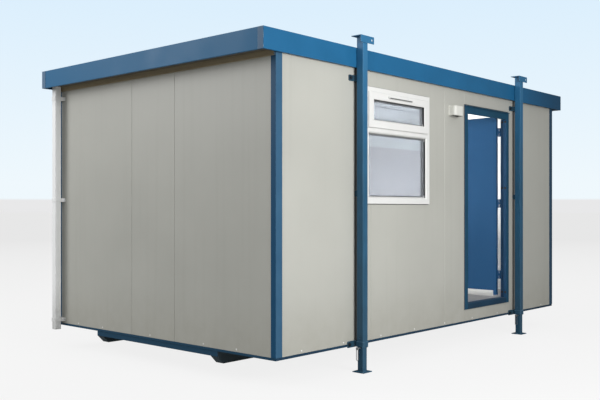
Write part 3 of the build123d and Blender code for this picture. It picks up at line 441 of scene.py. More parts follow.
def rainwater_pvc(paints):
    """Extruded PVC rainwater pipe, light grey and weathered: chalky with a soft sheen, darkened
    under the roof edge by painted shade of the overhang, and mottled with splashes near the ground."""
    material, tree, place = blank_material("weathered_rainwater_pvc")
    axes = add(tree, "ShaderNodeSeparateXYZ", {0: place})
    mottle = add(tree, "ShaderNodeTexNoise", {"Vector": place, "Scale": 24.0, "Detail": 5.0})
    # painted shade of the overhang, darkening the top of the pipe
    high = add(
        tree, "ShaderNodeMapRange",
        {"Value": axes.outputs["Z"], "From Min": 2.42, "From Max": 2.58, "To Max": 0.38},
    )
    low = add(
        tree, "ShaderNodeMapRange", {"Value": axes.outputs["Z"], "From Min": 0.62, "From Max": 0.2}
    )
    splash = add(tree, "ShaderNodeMath", {0: low, 1: mottle}, operation="MULTIPLY")
    # one darkening for both: the splashes low down and the painted shade high up
    darkening = add(tree, "ShaderNodeMath", {0: splash, 1: high}, operation="MAXIMUM")
    amount = add(tree, "ShaderNodeMath", {0: darkening, 1: 0.75}, operation="MULTIPLY")
    colour = add(
        tree, "ShaderNodeMix", {SHARE: amount, UNDER: paints.pipe, OVER: "#77766F"},
        data_type="RGBA",
    )
    gloss = add(tree, "ShaderNodeMapRange", {"Value": mottle, "To Min": 0.35, "To Max": 0.55})
    rounded = add(tree, "ShaderNodeBevel", {"Radius": 0.003}, samples=4)
    shader = add(
        tree, "ShaderNodeBsdfPrincipled",
        {"Base Color": colour, "Roughness": gloss, "Normal": rounded},
    )
    return close_material(material, shader)


def glazing_bead_pvc(paints):
    """Snap-in glazing beads, black for their wedge gaskets and for painted shade along the sides and
    tops of the panes, and bare white PVC along the two sills and under the transom."""
    material, tree, place = blank_material("glazing_bead_pvc")
    level = add(tree, "ShaderNodeSeparateXYZ", {0: place}).outputs["Z"]
    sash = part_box("window_fanlight")[0].z
    # middles of the beads on the lower sill, on the fanlight's sill and under the transom
    bare_levels = (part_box("window_frame")[0].z + 0.064, sash + 0.074, sash - 0.050)
    bare = None
    for bare_level in bare_levels:
        here = add(tree, "ShaderNodeMath", {0: level, 1: bare_level, 2: 0.02}, operation="COMPARE")
        if bare is not None:
            here = add(tree, "ShaderNodeMath", {0: bare, 1: here}, operation="MAXIMUM")
        bare = here
    film = add(tree, "ShaderNodeTexNoise", {"Vector": place, "Scale": 30.0, "Detail": 3.0})
    # black: the gaskets, and painted shade in the glazed openings
    colour = add(
        tree, "ShaderNodeMix", {SHARE: bare, UNDER: "#2A2C30", OVER: paints.plastic},
        data_type="RGBA",
    )
    gloss = add(tree, "ShaderNodeMapRange", {"Value": film, "To Min": 0.4, "To Max": 0.55})
    shader = add(tree, "ShaderNodeBsdfPrincipled", {"Base Color": colour, "Roughness": gloss})
    return close_material(material, shader)


def moulded_cowl_styrene():
    """Injection-moulded styrene hood: off-white, dulled by the sun, with painted shade along its
    lower lip where its mouth lies."""
    material, tree, place = blank_material("moulded_cowl_styrene")
    axes = add(tree, "ShaderNodeSeparateXYZ", {0: place})
    weather = add(tree, "ShaderNodeTexNoise", {"Vector": place, "Scale": 18.0, "Detail": 4.0})
    colour = add(
        tree, "ShaderNodeMix", {SHARE: weather, UNDER: "#CBCBC4", OVER: "#D8D8D2"}, data_type="RGBA"
    )
    # painted shade of the hood's mouth, darkening its lower lip
    darkening = add(
        tree, "ShaderNodeMapRange",
        {"Value": axes.outputs["Z"], "From Min": 2.345, "From Max": 2.333, "To Max": 0.5},
    )
    dirty = add(
        tree, "ShaderNodeMix", {SHARE: darkening, UNDER: colour, OVER: "#8A8A80"}, data_type="RGBA"
    )
    gloss = add(tree, "ShaderNodeMapRange", {"Value": weather, "To Min": 0.42, "To Max": 0.6})
    shader = add(tree, "ShaderNodeBsdfPrincipled", {"Base Color": dirty, "Roughness": gloss})
    return close_material(material, shader)


def float_glass(paints):
    """Sheets of float glass in a sealed unit: clear and cool, with a soft haze of dust and
    dried rain that catches the light, and a sharp reflection over it. The fanlight's is paler."""
    material, tree, place = blank_material("float_glass")
    haze = add(tree, "ShaderNodeTexNoise", {"Vector": place, "Scale": 2.2, "Detail": 3.0})
    film = add(
        tree, "ShaderNodeMapRange",
        {"Value": haze, "From Min": 0.3, "From Max": 0.7, "To Min": 0.90, "To Max": 0.84},
    )
    # the fanlight's own pane starts above 1.95 m
    axes = add(tree, "ShaderNodeSeparateXYZ", {0: place})
    upper = add(tree, "ShaderNodeMath", {0: axes.outputs["Z"], 1: 1.95}, operation="GREATER_THAN")
    tint = add(
        tree, "ShaderNodeMix", {SHARE: upper, UNDER: paints.glass, OVER: "#D8DDE3"},
        data_type="RGBA",
    )
    shader = add(
        tree, "ShaderNodeBsdfPrincipled",
        {"Base Color": tint, "Roughness": 0.02, "IOR": 1.5, "Transmission Weight": film},
    )
    return close_material(material, shader)


def extruded_rubber():
    """Extruded EPDM rubber: black, matt and a little chalky from the weather."""
    material, tree, place = blank_material("extruded_epdm_rubber")
    chalk = add(tree, "ShaderNodeTexNoise", {"Vector": place, "Scale": 60.0, "Detail": 3.0})
    colour = add(
        tree, "ShaderNodeMix", {SHARE: chalk, UNDER: "#17181A", OVER: "#303234"}, data_type="RGBA"
    )
    shader = add(tree, "ShaderNodeBsdfPrincipled", {"Base Color": colour, "Roughness": 0.7})
    return close_material(material, shader)


def gunned_sealant():
    """Gunned silicone sealant: dull grey-black, slightly rippled by the finger that
    smoothed it, with dust held in it."""
    material, tree, place = blank_material("gunned_silicone_sealant")
    ripple = add(tree, "ShaderNodeTexNoise", {"Vector": place, "Scale": 45.0, "Detail": 3.0})
    colour = add(
        tree, "ShaderNodeMix", {SHARE: ripple, UNDER: "#3A3D3F", OVER: "#6B6E6E"}, data_type="RGBA"
    )
    bump = add(tree, "ShaderNodeBump", {"Height": ripple, "Strength": 0.5, "Distance": 0.001})
    shader = add(
        tree, "ShaderNodeBsdfPrincipled", {"Base Color": colour, "Roughness": 0.55, "Normal": bump}
    )
    return close_material(material, shader)


def plated_steel(name, light, dark, rough):
    """Small metal parts, plated, blackened or left from the mill: a grey metal shine broken
    into soft cloudy patches, with fine scratches from handling."""
    material, tree, place = blank_material(name)
    patches = add(tree, "ShaderNodeTexNoise", {"Vector": place, "Scale": 42.0, "Detail": 4.0})
    colour = add(
        tree, "ShaderNodeMix", {SHARE: patches, UNDER: dark, OVER: light}, data_type="RGBA"
    )
    gloss = add(
        tree, "ShaderNodeMapRange",
        {"Value": patches, "To Min": rough - 0.08, "To Max": rough + 0.14},
    )
    stretched = add(tree, "ShaderNodeMapping", {"Vector": place, "Scale": (30.0, 260.0, 260.0)})
    scratches = add(tree, "ShaderNodeTexNoise", {"Vector": stretched, "Scale": 1.0, "Detail": 2.0})
    rounded = add(tree, "ShaderNodeBevel", {"Radius": 0.0012}, samples=4)
    bump = add(
        tree, "ShaderNodeBump",
        {"Height": scratches, "Strength": 0.08, "Distance": 0.0005, "Normal": rounded},
    )
    shader = add(
        tree, "ShaderNodeBsdfPrincipled",
        {"Base Color": colour, "Metallic": 0.9, "Roughness": gloss, "Normal": bump},
    )
    return close_material(material, shader)


def galvanised_roofing():
    """Hot-dip galvanised and coated roofing sheet: dull grey, with faint zinc spangle and
    darker water marks drawn out along the cabin."""
    material, tree, place = blank_material("galvanised_roofing_sheet")
    # spangle about 25 mm across
    spangle = add(tree, "ShaderNodeTexVoronoi", {"Vector": place, "Scale": 40.0})
    flakes = add(
        tree, "ShaderNodeMix", {SHARE: spangle, UNDER: "#9A9D9D", OVER: "#858989"}, data_type="RGBA"
    )
    stretched = add(tree, "ShaderNodeMapping", {"Vector": place, "Scale": (0.8, 7.0, 7.0)})
    puddles = add(tree, "ShaderNodeTexNoise", {"Vector": stretched, "Scale": 1.0, "Detail": 5.0})
    wet = add(
        tree, "ShaderNodeMapRange",
        {"Value": puddles, "From Min": 0.5, "From Max": 0.72, "To Max": 0.55},
    )
    colour = add(
        tree, "ShaderNodeMix", {SHARE: wet, UNDER: flakes, OVER: "#62625A"}, data_type="RGBA"
    )
    gloss = add(tree, "ShaderNodeMapRange", {"Value": puddles, "To Min": 0.38, "To Max": 0.62})
    rounded = add(tree, "ShaderNodeBevel", {"Radius": 0.004}, samples=4)
    shader = add(
        tree, "ShaderNodeBsdfPrincipled",
        {"Base Color": colour, "Metallic": 0.45, "Roughness": gloss, "Normal": rounded},
    )
    return close_material(material, shader)


def soffit_board():
    """Bitumen-faced board under the roof edge: dark brown, matt and fibrous."""
    material, tree, place = blank_material("bitumen_faced_soffit_board")
    stretched = add(tree, "ShaderNodeMapping", {"Vector": place, "Scale": (18.0, 90.0, 90.0)})
    fibre = add(tree, "ShaderNodeTexNoise", {"Vector": stretched, "Scale": 1.0, "Detail": 4.0})
    colour = add(
        tree, "ShaderNodeMix", {SHARE: fibre, UNDER: "#4A4437", OVER: "#6E675A"}, data_type="RGBA"
    )
    bump = add(tree, "ShaderNodeBump", {"Height": fibre, "Strength": 0.3, "Distance": 0.001})
    shader = add(
        tree, "ShaderNodeBsdfPrincipled", {"Base Color": colour, "Roughness": 0.85, "Normal": bump}
    )
    return close_material(material, shader)


def faced_ceiling(paints):
    """Vinyl-faced ceiling boards laid along the cabin: white, each board 0.6 m wide and of a
    slightly different white from its neighbours."""
    material, tree, place = blank_material("vinyl_faced_ceiling_board")
    clouds = add(tree, "ShaderNodeTexNoise", {"Vector": place, "Scale": 2.0, "Detail": 3.0})
    across = add(tree, "ShaderNodeMapping", {"Vector": place, "Scale": (0.0, 1.67, 0.0)})
    board = add(tree, "ShaderNodeVectorMath", {0: across}, operation="FLOOR")
    shade = add(tree, "ShaderNodeTexWhiteNoise", {"Vector": board})
    both = add(tree, "ShaderNodeMath", {0: clouds, 1: shade}, operation="MULTIPLY")
    colour = add(
        tree, "ShaderNodeMix",
        {SHARE: both, UNDER: paints.lining, OVER: toned(paints.lining, 0.6)}, data_type="RGBA",
    )
    # stipple of the vinyl is 3 mm; drawn 8 mm wide so that it shows
    stipple = add(tree, "ShaderNodeTexNoise", {"Vector": place, "Scale": 125.0, "Detail": 2.0})
    bump = add(tree, "ShaderNodeBump", {"Height": stipple, "Strength": 0.15, "Distance": 0.001})
    shader = add(
        tree, "ShaderNodeBsdfPrincipled", {"Base Color": colour, "Roughness": 0.6, "Normal": bump}
    )
    return close_material(material, shader)


def sheet_vinyl():
    """Calendered sheet vinyl flooring: pale grey with fine chips, scuffed and half matt."""
    material, tree, place = blank_material("calendered_sheet_vinyl")
    chips = add(tree, "ShaderNodeTexVoronoi", {"Vector": place, "Scale": 90.0})
    scuffs = add(tree, "ShaderNodeTexNoise", {"Vector": place, "Scale": 4.0, "Detail": 6.0})
    chipped = add(
        tree, "ShaderNodeMix", {SHARE: chips, UNDER: "#8E8C91", OVER: "#7C7A7F"}, data_type="RGBA"
    )
    dirt = add(
        tree, "ShaderNodeMapRange",
        {"Value": scuffs, "From Min": 0.45, "From Max": 0.75, "To Max": 0.3},
    )
    colour = add(
        tree, "ShaderNodeMix", {SHARE: dirt, UNDER: chipped, OVER: "#7D786E"}, data_type="RGBA"
    )
    shader = add(tree, "ShaderNodeBsdfPrincipled", {"Base Color": colour, "Roughness": 0.45})
    return close_material(material, shader)


def flooring_plywood(name, light, dark):
    """Softwood ply and battens: brown with long grain and darker late wood, its sawn ends at the
    cabin's corners drawn dark."""
    material, tree, place = blank_material(name)
    stretched = add(tree, "ShaderNodeMapping", {"Vector": place, "Scale": (60.0, 1.6, 60.0)})
    grain = add(
        tree, "ShaderNodeTexNoise",
        {"Vector": stretched, "Scale": 1.0, "Detail": 5.0, "Distortion": 0.4},
    )
    colour = add(tree, "ShaderNodeMix", {SHARE: grain, UNDER: dark, OVER: light}, data_type="RGBA")
    # the ends lie more than 2.4 m off the cabin's middle and look across it
    axes = add(tree, "ShaderNodeSeparateXYZ", {0: place})
    off = add(tree, "ShaderNodeMath", {0: axes.outputs["X"]}, operation="ABSOLUTE")
    corner = add(tree, "ShaderNodeMath", {0: off, 1: 2.4}, operation="GREATER_THAN")
    turn = add(tree, "ShaderNodeTexCoord").outputs["Normal"]
    facing = add(tree, "ShaderNodeSeparateXYZ", {0: turn})
    across = add(tree, "ShaderNodeMath", {0: facing.outputs["Y"]}, operation="ABSOLUTE")
    sawn = add(tree, "ShaderNodeMath", {0: corner, 1: across}, operation="MULTIPLY")
    dark_ended = add(
        tree, "ShaderNodeMix", {SHARE: sawn, UNDER: colour, OVER: "#16303F"}, data_type="RGBA"
    )
    bump = add(tree, "ShaderNodeBump", {"Height": grain, "Strength": 0.2, "Distance": 0.001})
    shader = add(
        tree, "ShaderNodeBsdfPrincipled", {"Base Color": dark_ended, "Roughness": 0.75, "Normal": bump}
    )
    return close_material(material, shader)


# ---------------------------------------------------------------- modelling helpers
def begin(primitive, **settings):
    """Adds a primitive with nothing else selected and opens it for editing."""
    bpy.ops.object.select_all(action="DESELECT")
    primitive(**settings)
    bpy.ops.object.mode_set(mode="EDIT")
    bpy.ops.mesh.select_all(action="DESELECT")


def pick(kind, test):
    """Selects only the faces or edges that pass the test, given their middle and direction."""
    mesh = bpy.context.edit_object.data
    bpy.context.tool_settings.mesh_select_mode = (False, kind == "edges", kind == "faces")
    shape = bmesh.from_edit_mesh(mesh)
    for group in (shape.verts, shape.edges, shape.faces):
        for item in group:
            item.select = False
    for item in getattr(shape, kind):
        if kind == "faces":
            chosen = test(item.calc_center_median(), item.normal)
        else:
            start, end = (v.co for v in item.verts)
            chosen = test((start + end) / 2, (end - start).normalized())
        if chosen:
            item.select_set(True)
    shape.select_flush_mode()
    bmesh.update_edit_mesh(mesh)


def leave(angle=math.radians(40)):
    """Closes edit mode, shades the piece smooth between its sharp edges and returns it."""
    bpy.ops.object.mode_set(mode="OBJECT")
    bpy.ops.object.shade_smooth_by_angle(angle=angle)
    return bpy.context.active_object


def join(pieces):
    """Joins pieces into the first one."""
    bpy.ops.object.select_all(action="DESELECT")
    for piece in pieces:
        piece.select_set(True)
    bpy.context.view_layer.objects.active = pieces[0]
    if len(pieces) > 1:
        bpy.ops.object.join()
    return pieces[0]


def spread(pattern, places):
    """Copies a pattern piece to each place, given as a point and a turn, as one mesh, and
    removes the pattern."""
    made = []
    for point, turn in places:
        bpy.ops.object.select_all(action="DESELECT")
        pattern.select_set(True)
        bpy.context.view_layer.objects.active = pattern
        bpy.ops.object.duplicate(linked=False)
        piece = bpy.context.active_object
        piece.location = point
        piece.rotation_euler = turn
        made.append(piece)
    bpy.data.objects.remove(pattern)
    return join(made)


def complete(piece, name, material, body):
    """Puts the piece's place in its mesh, and gives it its name, finish and body."""
    bpy.ops.object.select_all(action="DESELECT")
    piece.select_set(True)
    bpy.context.view_layer.objects.active = piece
    bpy.ops.object.transform_apply(location=True, rotation=True, scale=True)
    piece.name = name
    piece.data.name = name
    piece.data.materials.clear()
    piece.data.materials.append(bpy.data.materials[material])
    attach(piece, body)
    return piece


def outward(direction):
    """Turn of a fixing modelled standing on +Z, so that it stands out of a wall."""
    angles = {"-Y": 0, "+X": 90, "+Y": 180, "-X": -90}
    return (math.radians(90), 0, math.radians(angles[direction]))


def eased_disc(sides, radius, foot, height, ease, segments):
    """Opens a cylinder that stands on +Z from a foot level, its top rim eased."""
    begin(
        bpy.ops.mesh.primitive_cylinder_add, vertices=sides, radius=radius, depth=height,
        location=(0, 0, foot + height / 2),
    )
    pick("faces", lambda place, normal: normal.z > 0.9)
    bpy.ops.mesh.bevel(offset=ease, segments=segments, affect="EDGES")


def sink_top(level, rim, depth):
    """Insets the top that lies above a level and sinks what is inside the rim."""
    pick("faces", lambda place, normal: normal.z > 0.9 and place.z > level)
    bpy.ops.mesh.inset(thickness=rim)
    bpy.ops.mesh.extrude_region_move(TRANSFORM_OT_translate={"value": (0, 0, -depth)})


def dome_head(radius, height, sides):
    """A domed head on +Z, its rim rounded over almost its whole height."""
    eased_disc(sides, radius, 0, height, height * 0.85, 3)
    return leave()


def pan_screw(radius):
    """A pan-head screw with a pressed recess."""
    height = radius * 0.62
    eased_disc(12, radius, 0, height, height * 0.5, 2)
    sink_top(height * 0.9, radius * 0.28, height * 0.45)
    return leave()


def hex_bolt(across, washer):
    """A hexagon head with chamfered corners on a plain washer."""
    plate, head = 0.003, 0.010
    eased_disc(20, washer, 0, plate, 0.0008, 2)
    disc = leave()
    eased_disc(6, across / 2, plate, head, 0.0018, 2)
    sink_top(plate + head - 0.0005, across * 0.12, 0.0006)
    return join([disc, leave()])


def wall_bead(low, high, width, depth, skip_bottom):
    """A sealant bead round a frame on the -Y wall, from a flat ring drawn out of the wall."""
    middle = (low + high) / 2
    begin(
        bpy.ops.mesh.primitive_plane_add, size=1,
        location=(middle.x, low.y, middle.z), rotation=(math.radians(90), 0, 0),
    )
    bpy.ops.object.mode_set(mode="OBJECT")
    bpy.context.active_object.scale = (high.x - low.x + 2 * width, high.z - low.z + 2 * width, 1)
    bpy.ops.object.transform_apply(location=True, rotation=True, scale=True)
    bpy.ops.object.mode_set(mode="EDIT")
    bpy.ops.mesh.select_all(action="SELECT")
    bpy.ops.mesh.inset(thickness=width)
    inner = high.x - low.x - width
    pick("faces", lambda place, normal: abs(place.x - middle.x) < 0.001
         and abs(place.z - middle.z) < 0.001)
    bpy.ops.mesh.delete(type="FACE")
    if skip_bottom:
        pick("faces", lambda place, normal: place.z < low.z and abs(place.x - middle.x) < inner)
        bpy.ops.mesh.delete(type="FACE")
    bpy.ops.mesh.select_all(action="SELECT")
    bpy.ops.mesh.extrude_region_move(TRANSFORM_OT_translate={"value": (0, -depth, 0)})
    bpy.ops.mesh.select_all(action="SELECT")
    bpy.ops.mesh.normals_make_consistent(inside=False)
    pick("edges", lambda place, direction: place.y < low.y - depth * 0.9
         and (place.x < low.x - width * 0.9 or place.x > high.x + width * 0.9
              or place.z > high.z + width * 0.9 or place.z < low.z - width * 0.9))
    bpy.ops.mesh.bevel(offset=depth * 0.6, segments=2, affect="EDGES")
    return leave()


def slim_box(low, high):
    """Opens a box between two corners for editing, its own middle as its origin."""
    begin(bpy.ops.mesh.primitive_cube_add, size=1, location=(low + high) / 2)
    bpy.ops.mesh.select_all(action="SELECT")
    bpy.ops.transform.resize(value=high - low, center_override=(low + high) / 2)
    bpy.ops.mesh.select_all(action="DESELECT")


def hollow_ring(low, high, thickness):
    """A four-sided lining inside an opening in a wall that faces -Y."""
    slim_box(low, high)
    pick("faces", lambda place, normal: abs(normal.y) > 0.9)
    bpy.ops.mesh.inset(thickness=thickness)
    pick("faces", lambda place, normal: abs(normal.y) > 0.9
         and abs(place.x) < 0.001 and abs(place.z) < 0.001)
    bpy.ops.mesh.bridge_edge_loops()
    return leave()


# ---------------------------------------------------------------- operators
class CABIN_OT_finishes(bpy.types.Operator):
    """Makes the finishes and puts them on the cabin's parts"""

    bl_idname = "cabin.finishes"
    bl_label = "Finishes"

    def execute(self, context):
        paints = context.scene.cabin_paints
        dull_trim = toned(paints.trim, 0.9)
        # painted steel: its colour, the colour of its clouds, of its flanks (painted light and
        # shade) and of what is worn, then its roughness, the radius of its edges in metres and how
        # far they are worn
        finishes = {
            "panel": coated_panel_steel(paints),
            "fascia": painted_steel(
                "powder_coated_fascia", paints.trim, dull_trim, "#1D5F88", "#7FA6C6", 0.42, 0.004,
                0.5,
            ),
            "wrap": painted_steel(
                "scuffed_fascia_tab", paints.trim, dull_trim, "#56708A", "#B4C2CC", 0.5, 0.004, 0.7
            ),
            "corner": painted_steel(
                "powder_coated_corner_trim", "#365C78", "#305470", "#16486A", "#6C93B0", 0.42,
                0.003, 0.35,
            ),
            "door_frame": painted_steel(
                "brushed_door_frame_enamel", "#1A4760", "#173F56", "#27496A", "#5F8FB4", 0.42,
                0.003, 0.35,
            ),
            # the door's flanks are its broad faces while it stands open, drawn lighter than its
            # edges: painted light
            "door": painted_steel(
                "powder_coated_door", "#14466E", "#113C5E", "#2E5A85", "#123050", 0.38, 0.006, 0.6
            ),
            "leg": jackleg_steel(paints),
            "chassis": bitumen_painted_steel(paints),
            "base": painted_steel(
                "dusty_base_rail_paint", "#1E3C52", "#183044", "#1D4159", "#5B7184", 0.5, 0.004, 0.4
            ),
            "plastic": extruded_pvcu(paints),
            "pipe": rainwater_pvc(paints),
            "glass": float_glass(paints),
            "rubber": extruded_rubber(),
            "sealant": gunned_sealant(),
            "zinc": plated_steel("zinc_plated_steel", "#C3C6C8", "#8E9294", 0.32),
            "bolt": plated_steel("blackened_bolt_steel", "#3C444C", "#20272E", 0.42),
            "hinge": painted_steel(
                "overpainted_hinge_steel", "#24507A", "#1C4064", "#24507A", "#8C99A3", 0.4, 0.002,
                0.9,
            ),
            "bead": glazing_bead_pvc(paints),
            "bracket": painted_steel(
                "weathered_bracket_paint", "#2C4A5C", "#1F3644", "#2A4454", "#93A9B6", 0.45, 0.004,
                0.8,
            ),
            "cowl": moulded_cowl_styrene(),
            "spacer": plated_steel("mill_finish_aluminium", "#D2D6D8", "#A9AEB2", 0.3),
            "roofing": galvanised_roofing(),
            "soffit": soffit_board(),
            "ceiling": faced_ceiling(paints),
            "vinyl": sheet_vinyl(),
            "plywood": flooring_plywood("flooring_plywood", "#B99768", "#8C6A40"),
            "timber": flooring_plywood("stained_eaves_batten", "#A99A7C", "#7C715C"),
        }
        coats = {
            "panel": [n for n in NODES if "panel" in n],
            "fascia": ["side_fascias", "end_fascias"],
            "wrap": ["fascia_wraps"],
            "corner": ["corner_trims"],
            "door_frame": ["door_frame"],
            "door": ["door_leaf"],
            "base": ["base_side_rails", "base_end_rails", "base_end_channels", "door_sill"],
            "bracket": ["leg_brackets"],
            "leg": ["leg_outer_tubes", "leg_heads"]
            + [f"inner_leg_{corner}" for corner in CORNERS],
            "chassis": ["base_skids", "floor_joists"],
            "plastic": [
                "window_frame", "window_fanlight", "window_trickle_vent", "window_spacers",
            ],
            "cowl": ["vent_cowl"],
            "pipe": ["downpipe", "downpipe_clips"],
            "glass": ["window_glass"],
            "bead": ["window_beads", "window_gaskets"],
            "zinc": ["door_handles"] + [f"leg_pin_{corner}" for corner in CORNERS],
            "hinge": ["door_frame_hinges", "door_leaf_hinges"],
            "roofing": ["roof_sheet", "gutter"],
            "soffit": ["soffits"],
            "ceiling": ["roof_deck"],
            "vinyl": ["floor_vinyl"],
            "plywood": ["floor_deck"],
            "timber": ["eaves_fillets"],
        }
        left = set(NODES)
        for finish, names in coats.items():
            for name in names:
                for slot in NODES[name].material_slots:
                    slot.material = finishes[finish]
                left.discard(name)
        if left:
            raise RuntimeError(f"no finish is given for {sorted(left)}")
        return {"FINISHED"}


class CABIN_OT_wall_rivets(bpy.types.Operator):
    """Sets rivets under white caps along the foot of each wall, above the base rail"""

    bl_idname = "cabin.wall_rivets"
    bl_label = "Wall rivets"

    def execute(self, context):
        radius = context.scene.cabin_fixings.rivet / 2
        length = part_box("front_panel_4")[1].x
        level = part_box("left_end_panels")[0].z + 0.020
        # along an end wall, from the front corner
        on_end = (0.44, 0.84, 1.56, 2.29, 2.70)
        ends = [((side * length, from_front - WALL_Y, level), outward(face))
                for side, face in ((-1, "-X"), (1, "+X")) for from_front in on_end]
        # along a side wall, in equal steps that leave out those behind a leg
        from_corner, steps, leg_room = 0.30, 8, 0.08
        step = (2 * length - 2 * from_corner) / steps
        legs = [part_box("inner_leg_front_left"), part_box("inner_leg_front_right")]

        def free(x):
            return all(not low.x - leg_room < x < high.x + leg_room for low, high in legs)

        along = [x for x in (i * step + from_corner - length for i in range(steps + 1)) if free(x)]
        sides = [((x, side * WALL_Y, level), outward(face))
                 for side, face in ((-1, "-Y"), (1, "+Y")) for x in along]
        rivets = spread(dome_head(radius, radius * 0.5, 12), ends + sides)
        complete(rivets, "wall_foot_rivet_caps", "extruded_pvcu", "cabin")
        return {"FINISHED"}


class CABIN_OT_bracket_bolts(bpy.types.Operator):
    """Bolts the leg brackets to the walls"""

    bl_idname = "cabin.bracket_bolts"
    bl_label = "Bracket bolts"

    def execute(self, context):
        across = context.scene.cabin_fixings.bolt
        low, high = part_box("leg_brackets")
        plate = 0.008
        # level of each row, and how far its bolts are from the leg's middle
        rows = ((high.z - 0.0255, 0.078), (low.z + 0.0275, 0.096))
        places = [((end * LEG_X + out * offset, side * (WALL_Y + plate), level), outward(face))
                  for side, face in ((-1, "-Y"), (1, "+Y"))
                  for end in (-1, 1) for level, offset in rows for out in (-1, 1)]
        bolts = spread(hex_bolt(across, across * 0.62), places)
        complete(bolts, "bracket_bolts", "blackened_bolt_steel", "cabin")
        return {"FINISHED"}


class CABIN_OT_clip_screws(bpy.types.Operator):
    """Screws the downpipe clips to the wall"""

    bl_idname = "cabin.clip_screws"
    bl_label = "Clip screws"

    def execute(self, context):
        radius = context.scene.cabin_fixings.screw / 2
        low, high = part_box("downpipe_clips")
        middle, from_middle = (low.y + high.y) / 2, 0.0475
        lug = high.x - 0.005
        levels = (0.281, 1.487, 2.509)
        places = [((lug, middle + side * from_middle, level), outward("-X"))
                  for level in levels for side in (-1, 1)]
        screws = spread(pan_screw(radius), places)
        complete(screws, "clip_screws", "zinc_plated_steel", "cabin")
        return {"FINISHED"}


class CABIN_OT_door_screws(bpy.types.Operator):
    """Fixes the door frame with pairs of black-capped anchors through its hinge jamb"""

    bl_idname = "cabin.door_screws"
    bl_label = "Door screws"

    def execute(self, context):
        cap = context.scene.cabin_fixings.anchor / 2
        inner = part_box("door_frame")[1].y
        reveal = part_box("door_sill")[1].x
        # one of each pair is in the rebate and the other in the reveal, further out
        pair = ((reveal + 0.025, inner - 0.020), (reveal, inner - 0.070))
        levels = (0.474, 1.63, 2.364)
        places = [((x, y, level), outward("-X")) for level in levels for x, y in pair]
        screws = spread(dome_head(cap, 0.002, 12), places)
        complete(screws, "jamb_anchor_caps", "extruded_epdm_rubber", "cabin")
        return {"FINISHED"}


class CABIN_OT_glazing_gaskets(bpy.types.Operator):
    """Lines the sides of each glazed opening, in front of the glass, with black rubber, which also
    paints the shade in those sides
    """

    bl_idname = "cabin.glazing_gaskets"
    bl_label = "Glazing gaskets"

    def execute(self, context):
        frame_low, frame_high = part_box("window_frame")
        sash_low, sash_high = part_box("window_fanlight")
        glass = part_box("window_glass")[0].y
        rail, transom, sash = 0.060, 0.046, 0.070
        thickness = 0.0015
        sunk = 0.002  # the lining's foot lies in the bevel of the sill
        # how deep each lining reaches, from its front edge to its back edge
        front, back = frame_low.y + 0.0105, frame_low.y + 0.020
        fan_front, fan_back = glass - 0.0185, glass - 0.004
        low_pane = (
            Vector((frame_low.x + rail, front, frame_low.z + rail - sunk)),
            Vector((frame_high.x - rail, back, sash_low.z - transom)),
        )
        fan_pane = (
            Vector((sash_low.x + sash, fan_front, sash_low.z + sash - sunk)),
            Vector((sash_high.x - sash, fan_back, sash_high.z - sash)),
        )
        linings = [hollow_ring(low, high, thickness) for low, high in (low_pane, fan_pane)]
        complete(join(linings), "glazing_gaskets", "extruded_epdm_rubber", "cabin")
        return {"FINISHED"}


class CABIN_OT_vent_louvre(bpy.types.Operator):
    """Sets a recessed dark grey insert in the face of the window vent, painted shade of the vent's
    slot
    """

    bl_idname = "cabin.vent_louvre"
    bl_label = "Vent louvre"

    def execute(self, context):
        low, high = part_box("window_trickle_vent")
        margin, height, proud, sunk = 0.014, 0.0085, 0.0024, 0.002
        level = low.z + 0.0015
        slim_box(
            Vector((low.x + margin, low.y - proud, level)),
            Vector((high.x - margin, low.y + sunk, level + height)),
        )
        bpy.ops.mesh.select_all(action="SELECT")
        bpy.ops.mesh.bevel(offset=proud * 0.2, segments=1, affect="EDGES")
        pick("faces", lambda place, normal: normal.y < -0.9)
        bpy.ops.mesh.inset(thickness=0.0018)
        bpy.ops.mesh.extrude_region_move(TRANSFORM_OT_translate={"value": (0, 0.0014, 0)})
        # the insert takes the sealant's dark grey to paint the slot's shade
        complete(leave(), "vent_louvre", "gunned_silicone_sealant", "cabin")
        return {"FINISHED"}


class CABIN_OT_cowl_screen(bpy.types.Operator):
    """Sets a dark fly screen in the mouth of the vent cowl, which also paints the shade inside the
    mouth
    """

    bl_idname = "cabin.cowl_screen"
    bl_label = "Cowl screen"

    def execute(self, context):
        low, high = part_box("vent_cowl")
        edge, depth_gap, above_lip, mesh_wire = 0.012, 0.010, 0.004, 0.0026
        length, depth = high.x - low.x - 2 * edge, high.y - low.y - depth_gap
        middle = ((low.x + high.x) / 2, (low.y + high.y) / 2, low.z + above_lip)
        begin(
            bpy.ops.mesh.primitive_grid_add, x_subdivisions=14, y_subdivisions=7, size=1,
            location=middle,
        )
        bpy.ops.mesh.select_all(action="SELECT")
        bpy.ops.transform.resize(value=(length, depth, 1), center_override=middle)
        bpy.ops.mesh.inset(thickness=mesh_wire, use_individual=True)
        bpy.ops.mesh.delete(type="FACE")
        bpy.ops.mesh.select_all(action="SELECT")
        screen = leave()
        solid = screen.modifiers.new("wire", "SOLIDIFY")
        solid.thickness = 0.0015
        bpy.ops.object.modifier_apply(modifier=solid.name)
        complete(screen, "cowl_fly_screen", "extruded_epdm_rubber", "cabin")
        return {"FINISHED"}


